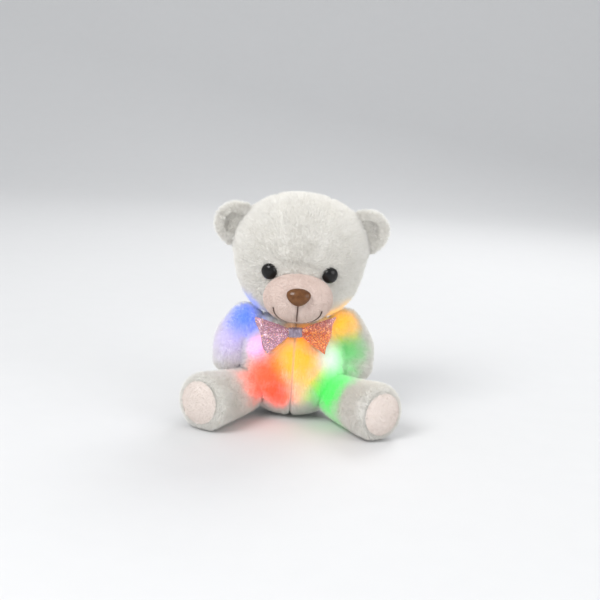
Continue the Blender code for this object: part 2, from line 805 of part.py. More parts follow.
def make_ear(name, side):
    """A round ear, dished in front, whose root follows the head."""
    along = Vector((math.cos(EAR_RAISE) * side, 0, math.sin(EAR_RAISE)))
    across = Vector((0, -1, 0)).cross(along)
    root = Vector((EAR_ROOT_X * side, 0, EAR_ROOT_Z))
    middle = root + along * EAR_OUT
    place = Matrix((along, Vector((0, -1, 0)), across)).transposed().to_4x4()
    place = Matrix.Translation(middle) @ place
    bm = bmesh.new()
    bmesh.ops.create_uvsphere(bm, u_segments=SHINY_SIDES, v_segments=SHINY_RINGS, radius=1)
    bmesh.ops.scale(bm, verts=bm.verts, vec=(EAR_HALF_LENGTH, EAR_HALF_THICKNESS, EAR_HALF_CHORD))
    bmesh.ops.transform(bm, matrix=place, verts=bm.verts)
    bmesh.ops.recalc_face_normals(bm, faces=bm.faces)
    ear = from_bmesh(name, bm)
    bm = bmesh.new()
    bmesh.ops.create_uvsphere(bm, u_segments=INNER_SIDES, v_segments=INNER_RINGS, radius=1)
    bowl = (EAR_HALF_LENGTH - EAR_BOWL_RIM, EAR_BOWL_DEPTH, EAR_HALF_CHORD - EAR_BOWL_RIM)
    bmesh.ops.scale(bm, verts=bm.verts, vec=bowl)
    bmesh.ops.translate(bm, verts=bm.verts, vec=(0, EAR_HALF_THICKNESS, 0))
    bmesh.ops.transform(bm, matrix=place, verts=bm.verts)
    bmesh.ops.recalc_face_normals(bm, faces=bm.faces)
    cut(ear, from_bmesh("bowl", bm), egg("head_cut", HEAD, -SEAT_GAP))
    return finish(ear, name, IVORY, 0.95)


def make_neck_thread():
    """The ring of thread that sews the head to the neck ball."""
    reach = NECK_RADIUS + SEAT_GAP + NECK_THREAD_RADIUS
    ring = []
    for i in range(THREAD_SIDES):
        angle = 2 * math.pi * i / THREAD_SIDES
        radius = reach * math.sin(NECK_THREAD_TURN) + NECK_THREAD_RADIUS * math.cos(angle)
        height = reach * math.cos(NECK_THREAD_TURN) + NECK_THREAD_RADIUS * math.sin(angle)
        ring.append((radius, height))
    thread = turned("neck_seam", ring, Matrix.Identity(4), OUTER_SIDES, closed=True)
    finish(thread, "neck_seam", IVORY, 0.8)
    thread.location = NECK


def make_arm(name, side):
    skin = arm_form(name + "_arm_skin", side, 0)
    cut(skin, arm_form("inside", side, PLUSH))
    shoulder = mirrored(SHOULDER, side)
    inward = Vector((-side * (SHOULDER_RADIUS + OVERRUN), 0, 0))
    cut(skin, rod("root_hole", shoulder, shoulder + inward, ARM_HOLE_RADIUS))
    finish(skin, name + "_arm_skin", IVORY, 0.95)
    fill = arm_form(name + "_arm_stuffing", side, PLUSH + SEAT_GAP)
    finish(fill, name + "_arm_stuffing", FIBRE, 0.9)
    for obj in (skin, fill):
        set_origin(obj, shoulder)


def sole_block(side, start):
    """Everything past a distance along the leg's axis."""
    _, foot, ahead = leg_axis(side)
    reach = FOOT_RADIUS + OVERRUN
    place = Matrix.Translation(foot + ahead * start) @ facing(ahead)
    profile = [(0, 0), (reach, 0), (reach, SOLE_CROWN + OVERRUN), (0, SOLE_CROWN + OVERRUN)]
    return turned("past_sole", profile, place)


def make_leg(name, side):
    skin = leg_form(name + "_leg_skin", side, 0)
    cut(skin, leg_form("inside", side, PLUSH), sole_block(side, SOLE_SEAM_DEPTH))
    finish(skin, name + "_leg_skin", IVORY, 0.95)
    pad = leg_form(name + "_sole", side, 0)
    cut(pad, leg_form("inside", side, VELVET))
    keep_inside(pad, sole_block(side, SOLE_SEAM_DEPTH + SEAT_GAP))
    finish(pad, name + "_sole", BEIGE, 0.9)
    fill = leg_form(name + "_leg_stuffing", side, PLUSH + SEAT_GAP)
    finish(fill, name + "_leg_stuffing", FIBRE, 0.9)
    for obj in (skin, pad, fill):
        set_origin(obj, mirrored(HIP, side))


def knot_half_depth():
    return BOW_WAIST_HALF_DEPTH + RIBBON / 2 + SEAT_GAP + KNOT_SLACK + KNOT_BAND


def knot_half_height():
    return BOW_WAIST_HALF_HEIGHT + SEAT_GAP + KNOT_BAND


def bow_place():
    """The middle of the bow, whose knot leans on the chest with its lower back edge.

    The chest's facet lies inside its curve there by the chest sink.
    """
    up = knot_half_height()
    back = knot_half_depth()
    edge_z = BOW_Z - up * math.cos(BOW_LEAN) - back * math.sin(BOW_LEAN)
    chest = surface_point(BODY, 0, edge_z)
    seat_y = chest.y + CHEST_SINK - SEAT_GAP
    y = seat_y - back * math.cos(BOW_LEAN) + up * math.sin(BOW_LEAN)
    return Matrix.Translation((0, y, BOW_Z)) @ Matrix.Rotation(-BOW_LEAN, 4, "X")


def make_bow():
    """A closed ribbon loop, wide at its ends and pinched by the knot's band."""
    bm = bmesh.new()
    ring = bmesh.ops.create_circle(bm, segments=4 * BOW_STEPS, radius=1)["verts"]
    waist = KNOT_HALF_WIDTH + SEAT_GAP
    power = math.log(waist / BOW_HALF_WIDTH) / math.log(math.sin(math.pi / 2 / BOW_STEPS))
    for vert in ring:
        along = BOW_HALF_WIDTH * abs(vert.co.x) ** power
        open_share = max(0, along - waist) / (BOW_HALF_WIDTH - waist)
        depth = BOW_WAIST_HALF_DEPTH
        depth += (BOW_HALF_DEPTH - BOW_WAIST_HALF_DEPTH) * math.sin(math.pi / 2 * open_share)
        depth *= min(1, abs(vert.co.y) / BOW_FOLD_SHARE)
        vert.co = Vector(
            (math.copysign(along, vert.co.x), math.copysign(depth, vert.co.y), -1)
        )
    edges = list(bm.edges)
    for _ in range(BOW_ROWS):
        grown = bmesh.ops.extrude_edge_only(bm, edges=edges)["geom"]
        verts = [item for item in grown if isinstance(item, bmesh.types.BMVert)]
        edges = [item for item in grown if isinstance(item, bmesh.types.BMEdge)]
        bmesh.ops.translate(bm, verts=verts, vec=(0, 0, 2 / BOW_ROWS))
    for vert in bm.verts:
        share = max(0, abs(vert.co.x) - waist) / (BOW_HALF_WIDTH - waist)
        half = BOW_WAIST_HALF_HEIGHT
        half += (BOW_END_HALF_HEIGHT - BOW_WAIST_HALF_HEIGHT) * share**BOW_FLARE
        low_share = share * (1 - vert.co.z) / 2
        vert.co.x -= math.copysign(BOW_SLANT * low_share, vert.co.x)
        vert.co.z = vert.co.z * half - BOW_DROOP * low_share
    bmesh.ops.recalc_face_normals(bm, faces=bm.faces)
    ribbon = from_bmesh("bow_ribbon", bm)
    wall = ribbon.modifiers.new("wall", "SOLIDIFY")
    wall.thickness = RIBBON
    wall.offset = 0
    fix_evaluated(ribbon)
    ribbon.data.transform(bow_place())
    finish(ribbon, "bow_ribbon", MAUVE, 0.5, 0.3)
    make_knot()


def make_knot():
    outer = Vector((KNOT_HALF_WIDTH, knot_half_depth(), knot_half_height()))
    knot = block("bow_knot", -outer, outer)
    rim = knot.modifiers.new("rim", "BEVEL")
    rim.width = KNOT_BAND * KNOT_ROUND_SHARE
    rim.segments = 2
    fix_evaluated(knot)
    inner = outer - Vector((0, KNOT_BAND, KNOT_BAND))
    inner.x += OVERRUN
    cut(knot, block("bore", -inner, inner))
    knot.data.transform(bow_place())
    return finish(knot, "bow_knot", SILVER, 0.4, 0.5)


def box_inner():
    """The corners of the box's inside."""
    half = BOX_WIDTH / 2 - BOX_WALL
    low_z = box_low_z() + BOX_WALL
    high_z = BOX_MIDDLE_Z + BOX_HEIGHT / 2 - BOX_WALL
    floor_y = BOX_FRONT_Y + BOX_WALL
    return Vector((-half, floor_y, low_z)), Vector((half, BOX_FRONT_Y + BOX_DEPTH, high_z))


def cell_axis():
    low, _ = box_inner()
    lift = SEAT_GAP + CELL_RADIUS
    return low.y + lift, low.z + lift


def board_low():
    _, high = box_inner()
    low, _ = box_inner()
    y = low.y + BOARD_STAND
    return Vector((-BOARD_WIDTH / 2, y, high.z - SEAT_GAP - BOARD_HEIGHT))


def make_box():
    half = BOX_WIDTH / 2
    top_z = BOX_MIDDLE_Z + BOX_HEIGHT / 2
    low, high = box_inner()
    back_y = BOX_FRONT_Y + BOX_DEPTH
    box = block("battery_box", (-half, BOX_FRONT_Y, box_low_z()), (half, back_y, top_z))
    cut(box, block("room", low, (high.x, back_y + OVERRUN, high.z)))
    cell_y, cell_z = cell_axis()
    boss_start = Vector((BOSS_X, low.y - BOX_WALL / 2, cell_z))
    boss_end = Vector((BOSS_X, back_y, cell_z))
    join(box, rod("boss", boss_start, boss_end, BOSS_RADIUS))
    screw_end = boss_end - Vector((0, SCREW_LENGTH, 0))
    past = boss_end + Vector((0, OVERRUN, 0))
    cut(box, rod("boss_bore", screw_end, past, SCREW_RADIUS + SEAT_GAP))
    board = board_low()
    for side in (-1, 1):
        x = side * (BOARD_WIDTH / 2 - BOX_WALL)
        stand_low = (x - BOX_WALL, low.y - BOX_WALL / 2, board.z)
        stand_high = (x + BOX_WALL, board.y - SEAT_GAP, high.z + BOX_WALL / 2)
        join(box, block("stand", stand_low, stand_high))
    cut(box, rod("cable_hole", cable_exit(-OVERRUN), cable_exit(OVERRUN), CABLE_RADIUS + SEAT_GAP))
    finish(box, "battery_box", GREY_PLASTIC, 0.4, smooth=False)
    make_cover(back_y, top_z, boss_end)


def cable_exit(past):
    """Where the cable leaves the box's front wall, moved along it."""
    board = board_low()
    return Vector((0, BOX_FRONT_Y - past, board.z + BOARD_HEIGHT / 2))


def make_cover(back_y, top_z, boss_end):
    half = BOX_WIDTH / 2
    low_y = back_y + SEAT_GAP
    cover = block("battery_cover", (-half, low_y, box_low_z()), (half, low_y + COVER_THICKNESS, top_z))
    edge = cover.modifiers.new("edge", "BEVEL")
    edge.width = COVER_EDGE
    edge.segments = 1
    fix_evaluated(cover)
    outside = low_y + COVER_THICKNESS
    head_seat = Vector((boss_end.x, outside - SCREW_HEAD - SEAT_GAP, boss_end.z))
    back = Vector((0, OVERRUN, 0))
    cut(cover, rod("screw_hole", boss_end - back, boss_end + back, SCREW_RADIUS + SEAT_GAP))
    cut(cover, rod("head_seat", head_seat, head_seat + back, SCREW_HEAD_RADIUS + SEAT_GAP))
    button = button_middle()
    hole = BUTTON_RADIUS + BUTTON_CLEARANCE
    cut(cover, rod("button_hole", button, button + back * 2, hole, SHINY_SIDES))
    finish(cover, "battery_cover", GREY_PLASTIC, 0.4, smooth=False)
    screw_low = outside - SCREW_HEAD - SCREW_LENGTH + SEAT_GAP
    place = Matrix.Translation((boss_end.x, screw_low, boss_end.z)) @ facing(Vector((0, 1, 0)))
    shank = outside - SCREW_HEAD - screw_low
    profile = [(0, 0), (SCREW_RADIUS, SCREW_RADIUS), (SCREW_RADIUS, shank)]
    profile += [(SCREW_HEAD_RADIUS, shank), (SCREW_HEAD_RADIUS, shank + SCREW_HEAD)]
    profile += [(0, shank + SCREW_HEAD)]
    finish(turned("cover_screw", profile, place), "cover_screw", STEEL, 0.35, 1.0)


def button_middle():
    """The middle of the switch's outer face, which the button presses."""
    board = board_low()
    y = board.y + BOARD_THICKNESS + SEAT_GAP + SWITCH_HEIGHT
    return Vector((0, y, board.z + BOARD_HEIGHT / 2))


def make_cells():
    """The spring, the button cells and the plate, in a row along the bottom of the box."""
    low, _ = box_inner()
    y, z = cell_axis()
    x = low.x + SEAT_GAP
    place = Matrix.Translation((x, y, z)) @ facing(Vector((1, 0, 0)))
    points = []
    steps = SPRING_TURN_STEPS * SPRING_TURNS
    for i in range(steps + 1):
        angle = 2 * math.pi * i / SPRING_TURN_STEPS
        along = SPRING_WIRE_RADIUS + (SPRING_LENGTH - 2 * SPRING_WIRE_RADIUS) * i / steps
        radius = SPRING_RADIUS * (1 - SPRING_TAPER_SHARE * i / steps)
        points.append(place @ Vector((radius * math.cos(angle), radius * math.sin(angle), along)))
    spring = tube("battery_spring", points, [SPRING_WIRE_RADIUS] * len(points), CABLE_SIDES)
    finish(spring, "battery_spring", STEEL, 0.3, 1.0)
    x += SPRING_LENGTH + SEAT_GAP
    for number in range(1, CELL_COUNT + 1):
        place = Matrix.Translation((x, y, z)) @ facing(Vector((1, 0, 0)))
        profile = [(0, 0), (CELL_STEP_RADIUS, 0), (CELL_STEP_RADIUS, CELL_STEP)]
        profile += [(CELL_RADIUS, CELL_STEP), (CELL_RADIUS, CELL_THICKNESS), (0, CELL_THICKNESS)]
        name = f"button_cell_{number}"
        finish(turned(name, profile, place, CELL_SIDES), name, STEEL, 0.25, 1.0)
        x += CELL_THICKNESS + SEAT_GAP
    half = CELL_RADIUS - BOX_WALL
    plate_low = (x, y - half, low.z + SEAT_GAP)
    plate_high = (x + PLATE_THICKNESS, y + half, z + half)
    finish(block("battery_plate", plate_low, plate_high), "battery_plate", STEEL, 0.3, 1.0, False)


def make_board():
    low = board_low()
    high = low + Vector((BOARD_WIDTH, BOARD_THICKNESS, BOARD_HEIGHT))
    finish(block("circuit_board", low, high), "circuit_board", GREEN, 0.5, 0, False)
    middle = button_middle()
    half = SWITCH_WIDTH / 2
    switch_low = (-half, middle.y - SWITCH_HEIGHT, middle.z - half)
    switch_high = (half, middle.y, middle.z + half)
    finish(block("switch_body", switch_low, switch_high), "switch_body", BLACK, 0.4, 0, False)
    start = middle.y + BUTTON_TRAVEL + SEAT_GAP
    cover_y = BOX_FRONT_Y + BOX_DEPTH + SEAT_GAP
    flange_top = cover_y - SEAT_GAP - start
    top = cover_y + COVER_THICKNESS + BUTTON_PROUD - start
    place = Matrix.Translation((0, start, middle.z)) @ facing(Vector((0, 1, 0)))
    profile = [(0, 0), (BUTTON_RADIUS, 0), (BUTTON_RADIUS, flange_top - BUTTON_FLANGE)]
    profile += [(BUTTON_FLANGE_RADIUS, flange_top - BUTTON_FLANGE), (BUTTON_FLANGE_RADIUS, flange_top)]
    profile += [(BUTTON_RADIUS, flange_top), (BUTTON_RADIUS, top - BUTTON_CHAMFER)]
    profile += [(BUTTON_RADIUS - BUTTON_CHAMFER, top), (0, top)]
    button = turned("push_button", profile, place, CELL_SIDES)
    set_origin(finish(button, "push_button", RED, 0.35), place.translation)


def lamp_spot(lamp):
    """The lamp's spot, from shares of the body's half width, half depth and height."""
    across, deep, high = lamp.spot_shares
    return Vector(
        (
            across * BODY_HALF_WIDTH,
            BODY_Y + deep * BODY_HALF_DEPTH,
            high * (BODY_DROP + BODY_RISE),
        )
    )


def cable_route():
    """From the board through the box's front wall and past every lamp's spot."""
    start = cable_exit(0)
    start.y = board_low().y - SEAT_GAP
    lead = [start, cable_exit(CABLE_LEAD / 3), cable_exit(CABLE_LEAD)]
    return lead + [lamp_spot(lamp) for lamp in LAMPS]


def cable_path():
    return smooth_path(cable_route(), CABLE_STEP)


def lamp_places():
    """Each lamp's place on the side of the cable that it points from, square to the cable."""
    route = cable_route()
    first = len(route) - len(LAMPS)
    places = []
    for i, lamp in enumerate(LAMPS, first):
        along = (route[min(i + 1, len(route) - 1)] - route[i - 1]).normalized()
        aim = (lamp.aim - along * lamp.aim.dot(along)).normalized()
        base = lamp_spot(lamp) + aim * (CABLE_RADIUS + LAMP_STAND)
        places.append((lamp, Matrix.Translation(base) @ facing(aim)))
    return places


def make_lamps_and_cable():
    path = cable_path()
    cable = tube("lamp_cable", path, [CABLE_RADIUS] * len(path), CABLE_SIDES)
    finish(cable, "lamp_cable", CLEAR, 0.5)
    for lamp, place in lamp_places():
        name = f"{lamp.colour}_lamp"
        profile = [(0, 0), (LAMP_FLANGE_RADIUS, 0), (LAMP_FLANGE_RADIUS, LAMP_FLANGE)]
        profile += [(LAMP_RADIUS, LAMP_FLANGE)]
        for i in range(LAMP_DOME_STEPS + 1):
            angle = math.pi / 2 * i / LAMP_DOME_STEPS
            height = LAMP_FLANGE + LAMP_BARREL + LAMP_RADIUS * math.sin(angle)
            profile.append((LAMP_RADIUS * math.cos(angle), height))
        finish(turned(name, profile, place, LAMP_SIDES), name, lamp.tint, 0.2)


def make_body_stuffing():
    fill = body_form("body_stuffing", PLUSH + SEAT_GAP)
    half = BOX_WIDTH / 2 + SEAT_GAP
    low = (-half, BOX_FRONT_Y - SEAT_GAP, box_low_z() - SEAT_GAP)
    high_z = BOX_MIDDLE_Z + BOX_HEIGHT / 2 + SEAT_GAP
    pocket = block("pocket", low, (half, BODY_Y + BODY_HALF_DEPTH + OVERRUN, high_z))
    swing = (-FLAP_HALF_WIDTH - SEAT_GAP, flap_hinge_y() - FLAP_SWING_DEPTH, BOX_MIDDLE_Z)
    swing_end = (FLAP_HALF_WIDTH + SEAT_GAP, BODY_Y + BODY_HALF_DEPTH + OVERRUN, FLAP_TOP)
    path = cable_path()
    tunnel = tube("tunnel", path, [CABLE_RADIUS + SEAT_GAP] * len(path), CABLE_SIDES)
    cut(fill, pocket, block("flap_swing", swing, swing_end), placket_room(), tunnel)
    for _, place in lamp_places():
        radius = LAMP_FLANGE_RADIUS + SEAT_GAP
        top = LAMP_FLANGE + LAMP_BARREL + LAMP_RADIUS + SEAT_GAP
        bottom = -(CABLE_RADIUS + LAMP_STAND)
        room = [(0, bottom), (radius, bottom), (radius, top), (0, top)]
        cut(fill, turned("lamp_room", room, place, LAMP_SIDES))
    return finish(fill, "body_stuffing", FIBRE, 0.9)


def main():
    clear_scene()
    make_body()
    make_body_stuffing()
    make_flap()
    make_head()
    make_neck_thread()
    for name, side in SIDES:
        make_arm(name, side)
        make_leg(name, side)
    make_bow()
    make_box()
    make_cells()
    make_board()
    make_lamps_and_cable()


main()
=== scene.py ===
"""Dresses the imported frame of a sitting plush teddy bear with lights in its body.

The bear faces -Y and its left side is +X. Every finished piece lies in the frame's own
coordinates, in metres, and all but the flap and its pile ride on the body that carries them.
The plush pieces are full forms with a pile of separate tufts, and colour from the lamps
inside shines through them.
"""

import math
from collections import namedtuple

import bmesh
import bpy
import numpy as np
from mathutils import Matrix, Vector, noise
from mathutils.bvhtree import BVHTree


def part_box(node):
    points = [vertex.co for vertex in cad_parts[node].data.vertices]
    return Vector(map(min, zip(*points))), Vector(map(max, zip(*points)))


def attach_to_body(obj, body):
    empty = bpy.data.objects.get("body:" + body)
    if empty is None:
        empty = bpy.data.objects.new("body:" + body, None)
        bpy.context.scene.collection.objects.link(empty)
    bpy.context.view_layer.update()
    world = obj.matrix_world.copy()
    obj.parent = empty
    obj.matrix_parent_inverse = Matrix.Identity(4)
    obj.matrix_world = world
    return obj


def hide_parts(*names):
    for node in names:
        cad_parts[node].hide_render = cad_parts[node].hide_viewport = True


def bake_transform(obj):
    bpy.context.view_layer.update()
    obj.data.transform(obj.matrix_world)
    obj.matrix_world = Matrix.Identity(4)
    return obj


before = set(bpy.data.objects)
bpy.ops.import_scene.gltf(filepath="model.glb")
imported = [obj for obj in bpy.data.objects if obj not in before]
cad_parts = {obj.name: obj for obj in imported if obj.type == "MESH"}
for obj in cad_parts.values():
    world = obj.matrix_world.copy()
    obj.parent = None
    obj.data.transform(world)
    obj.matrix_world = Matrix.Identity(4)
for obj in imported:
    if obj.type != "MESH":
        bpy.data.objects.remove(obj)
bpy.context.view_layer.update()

bl_info = {
    "name": "Teddy Bear With Lights",
    "version": (1, 0, 0),
    "blender": (4, 5, 0),
    "location": "3D View > Sidebar > Teddy Bear",
    "description": "Builds the plush, the face, the bow and the glow of a sitting teddy bear",
    "category": "Object",
}

MM = 0.001
SIDES = (("left", 1), ("right", -1))

# The forms that the frame's solids are drawn from, in metres
PLUSH = 3.0 * MM
SEAT_GAP = 0.3 * MM
ROOT_CLEARANCE = 0.5 * MM
LIMB_CLEARANCE = 0.4 * MM
OVERRUN = 9.0 * MM
Egg = namedtuple("Egg", "centre half_width half_depth rise drop top jaw taper_share")
BODY = Egg(Vector((0, 2.0, 44.5)) * MM, 49 * MM, 43 * MM, 47 * MM, 45 * MM, 2.2, 2.2, 0)
HEAD = Egg(Vector((0, 0, 146)) * MM, 58.5 * MM, 50 * MM, 50 * MM, 57 * MM, 2.15, 3.2, 0.14)
MUZZLE = Egg(Vector((0, -51, 114)) * MM, 29 * MM, 23 * MM, 20.5 * MM, 20.5 * MM, 2.1, 2.1, 0)
NECK = Vector((0, 0, 80)) * MM
NECK_RADIUS = 20 * MM
NECK_RELIEF_RADIUS = 57 * MM
NECK_RELIEF_TOP = 97.4 * MM
SHOULDER = Vector((44, 6, 80)) * MM
ELBOW = Vector((56, 2, 64)) * MM
HAND = Vector((57, -6.5, 48)) * MM
ARM_RADII = (16 * MM, 14.8 * MM, 13.5 * MM)
HIP = Vector((44, -22, 22)) * MM
LEG_SPLAY = math.radians(35)
LEG_LIFT = math.radians(12)
FOOT_REACH = 48.5 * MM
LEG_RADII = (19.5 * MM, 22 * MM, 24.5 * MM)
SOLE_CROWN = 13 * MM
SOLE_SEAM_DEPTH = 6.5 * MM
EAR_ROOT = Vector((51.5, 0, 163.5)) * MM
EAR_OUT = 6.5 * MM
EAR_RAISE = math.radians(26)
EAR_HALF = Vector((18.5, 5.5, 18.5)) * MM
EAR_BOWL = Vector((14.5, 4.0, 14.5)) * MM
EYE_X = 25.4 * MM
EYE_Z = 133.5 * MM
NOSE_Z = 119.5 * MM
FLAP_HALF_WIDTH = 14 * MM
FLAP_LOW = 30 * MM
FLAP_HIGH = 64 * MM
FLAP_FOLD = 7 * MM
BOW_Z = 81 * MM
BOW_LEAN = math.radians(16)
BOW_TURN = math.radians(3.5)

# The bow's half width, half waist, and half height at its ends and waist
BOW_SIZES = (34 * MM, 6 * MM, 13.2 * MM, 3.2 * MM)
KNOT_HALF = (4.4 * MM, 3.4 * MM, 6 * MM)

# What lies behind the flap: name, node, body, slot, thickness, half width, lower and upper end
TAPE_HALF = 11 * MM
TAPE_HIGH = 39.5 * MM
TAPE_LOW = TAPE_HIGH - 8 * MM
BACK_STRIPS = (
    ("hook_strip", "hook_tape", "flap", "tape", 1 * MM, TAPE_HALF, TAPE_LOW, TAPE_HIGH),
    ("loop_strip", "loop_tape", "body", "tape", 1 * MM, TAPE_HALF, TAPE_LOW, TAPE_HIGH),
    ("placket_cloth", "placket", "body", "lining", 1.2 * MM, 12.5 * MM, 25 * MM, 41 * MM),
)
FACES_OUT = 0.6
CELLS = [f"button_cell_{number}" for number in (1, 2, 3)]

# How deep the cloths' backing lies under the frame's surfaces, which the pile reaches
NAP = 2.3 * MM
VELVET_NAP = 0.7 * MM

# How the pile stands. The scales are waves a metre, the density tufts a square millimetre
LEAST_PILE = 0.1
WIDE_SWIRL = 150.0
FINE_SWIRL = 420.0
STRAY = 0.28
VELVET_DENSITY = 4.5
HEAD_THICKNESS = 0.75
EAR_THICKNESS = 1.2
SHOULDER_SHARE = 1.2

# Tones, darker and lighter
EYE_BLACKS = ((0.002, 0.002, 0.002), (0.006, 0.005, 0.005))
NOSE_BROWNS = ((0.085, 0.030, 0.009), (0.19, 0.078, 0.026))
MOUTH_BROWN = (0.055, 0.022, 0.012)
KNOT_LILACS = ((0.24, 0.19, 0.27), (0.58, 0.50, 0.62))
GLITTER = {
    "silver": (0.86, 0.84, 0.90),
    "rose": (0.90, 0.42, 0.55),
    "gold": (0.95, 0.62, 0.18),
}
SPARKLE_SCALE = 1300.0
SOLE_PALENESS = 0.45

# How finely the forms are drawn
FORM_SIDES = 120
FORM_RINGS = 72
LIMB_SIDES = 64
BALL_SIDES = 64

# Where colour comes through, as (place in mm, reach in mm, colour, share at the middle)
Glow = namedtuple("Glow", "place reach colour share")
GLOWS = (
    Glow((-46, -14, 88), 26, (0.09, 0.24, 1.0), 1.0),
    Glow((-56, -8, 64), 30, (0.62, 0.52, 1.0), 0.30),
    Glow((-34, -28, 66), 20, (1.0, 0.52, 0.84), 0.8),
    Glow((-24, -36, 44), 26, (1.0, 0.12, 0.025), 0.92),
    Glow((-14, -40, 24), 24, (1.0, 0.08, 0.02), 1.0),
    Glow((-40, -36, 34), 26, (1.0, 0.42, 0.36), 0.15),
    Glow((0, -42, 62), 28, (1.0, 0.46, 0.02), 1.0),
    Glow((9, -42, 24), 20, (1.0, 0.60, 0.30), 0.3),
    Glow((6, -34, 86), 22, (1.0, 0.42, 0.04), 0.6),
    Glow((11, -42, 46), 27, (1.0, 0.46, 0.06), 0.6),
    Glow((40, -14, 88), 26, (1.0, 0.54, 0.03), 0.9),
    Glow((36, -28, 57), 23, (0.70, 0.82, 0.72), 0.75),
    Glow((46, -12, 62), 26, (0.10, 0.62, 0.16), 0.5),
    Glow((27, -36, 31), 25, (0.10, 0.62, 0.14), 0.75),
    Glow((40, -30, 36), 26, (0.13, 0.66, 0.19), 0.8),
    Glow((40, -34, 16), 26, (0.12, 0.62, 0.17), 0.5),
)

# How uneven a glow's edge is, where it starts and ends as shares of its reach, and its limits
GLOW_RIPPLE = 120.0
GLOW_UNEVEN = 0.5
GLOW_CORE = 0.15
GLOW_RIM = 1.35
GLOW_FAINTEST = 0.02
GLOW_FULLEST = 0.97
GLOW_TINT = 0.9
SEAM_GLOW = 0.35


def add_object(name, data):
    obj = bpy.data.objects.new(name, data)
    bpy.context.scene.collection.objects.link(obj)
    return obj


def from_bmesh(name, bm):
    mesh = bpy.data.meshes.new(name)
    bm.to_mesh(mesh)
    bm.free()
    return add_object(name, mesh)


def apply_modifiers(obj):
    graph = bpy.context.evaluated_depsgraph_get()
    mesh = bpy.data.meshes.new_from_object(obj.evaluated_get(graph))
    obj.modifiers.clear()
    obj.data = mesh
    return obj


def copy_of(obj, name):
    return add_object(name, obj.data.copy())


def combine(target, operation, tools, keep_tools=False):
    """A Boolean whose new faces take the second material slot, for the cloth's inside."""
    for tool in tools:
        while len(tool.data.materials) < 2:
            tool.data.materials.append(None)
        if operation == "DIFFERENCE":
            tool.data.polygons.foreach_set("material_index", [1] * len(tool.data.polygons))
        modifier = target.modifiers.new(tool.name, "BOOLEAN")
        modifier.operation = operation
        modifier.solver = "EXACT"
        modifier.object = tool
    while len(target.data.materials) < 2:
        target.data.materials.append(None)
    apply_modifiers(target)
    for tool in () if keep_tools else tools:
        bpy.data.objects.remove(tool)
    return target


def cut(target, *tools, keep_tools=False):
    return combine(target, "DIFFERENCE", tools, keep_tools)


def join(target, *tools):
    return combine(target, "UNION", tools)


def keep_inside(target, *tools):
    return combine(target, "INTERSECT", tools)


def all_outside(obj):
    """Gives every face the first material slot, the cloth's outside."""
    obj.data.polygons.foreach_set("material_index", [0] * len(obj.data.polygons))
    return obj


def sewn(name, stitches, finish):
    """One object of all the stitches."""
    bm = bmesh.new()
    for stitch in stitches:
        bm.from_mesh(stitch.data)
        bpy.data.objects.remove(stitch)
    thread = from_bmesh(name, bm)
    thread.data.materials.append(finish)
    thread.data.shade_smooth()
    return thread


def mirrored(point, side):
    return Vector((point.x * side, point.y, point.z))


def facing(direction):
    """The turn that takes +Z to the direction and keeps world up in the local XZ plane."""
    z = direction.normalized()
    up = Vector((0, 0, 1)) if abs(z.z) < math.cos(math.radians(20)) else Vector((0, 1, 0))
    x = up.cross(z).normalized()
    return Matrix((x, z.cross(x), z)).transposed().to_4x4()


def egg(name, form, inset=0.0, sides=FORM_SIDES, rings=FORM_RINGS):
    """A closed egg. A fullness over 2 squares its side, and the taper narrows its lower half."""
    bm = bmesh.new()
    bmesh.ops.create_uvsphere(bm, u_segments=sides, v_segments=rings, radius=1)
    for vert in bm.verts:
        full = form.top if vert.co.z > 0 else form.jaw
        rise = form.rise if vert.co.z > 0 else form.drop
        round_share = math.hypot(vert.co.x, vert.co.y)
        x, y, z = vert.co * (round_share**full + abs(vert.co.z) ** full) ** (-1 / full)
        width = 1 - form.taper_share * max(0, -z)
        half_width = (form.half_width - inset) * width
        half_depth = (form.half_depth - inset) * width
        vert.co = form.centre + Vector((x * half_width, y * half_depth, z * (rise - inset)))
    return from_bmesh(name, bm)


def ball(name, centre, radius, sides=BALL_SIDES):
    bm = bmesh.new()
    bmesh.ops.create_uvsphere(bm, u_segments=sides, v_segments=sides // 2, radius=radius)
    bmesh.ops.translate(bm, verts=bm.verts, vec=centre)
    return from_bmesh(name, bm)


def block(name, low, high):
    bm = bmesh.new()
    bmesh.ops.create_cube(bm, size=1)
    low, high = Vector(low), Vector(high)
    bmesh.ops.scale(bm, verts=bm.verts, vec=high - low)
    bmesh.ops.translate(bm, verts=bm.verts, vec=(low + high) / 2)
    return from_bmesh(name, bm)


def turned(name, profile, place, sides=BALL_SIDES, closed=False):
    """A profile of (radius, height) pairs turned about the place's Z axis."""
    bm = bmesh.new()
    verts = [bm.verts.new((radius, 0, height)) for radius, height in profile]
    pairs = list(zip(verts, verts[1:]))
    if closed:
        pairs.append((verts[-1], verts[0]))
    edges = [bm.edges.new(pair) for pair in pairs]
    bmesh.ops.spin(
        bm,
        geom=verts + edges,
        cent=(0, 0, 0),
        axis=(0, 0, 1),
        angle=2 * math.pi,
        steps=sides,
        use_merge=True,
    )
    bmesh.ops.remove_doubles(bm, verts=bm.verts, dist=MM / 1000)
    bmesh.ops.recalc_face_normals(bm, faces=bm.faces)
    bmesh.ops.transform(bm, matrix=place, verts=bm.verts)
    return from_bmesh(name, bm)


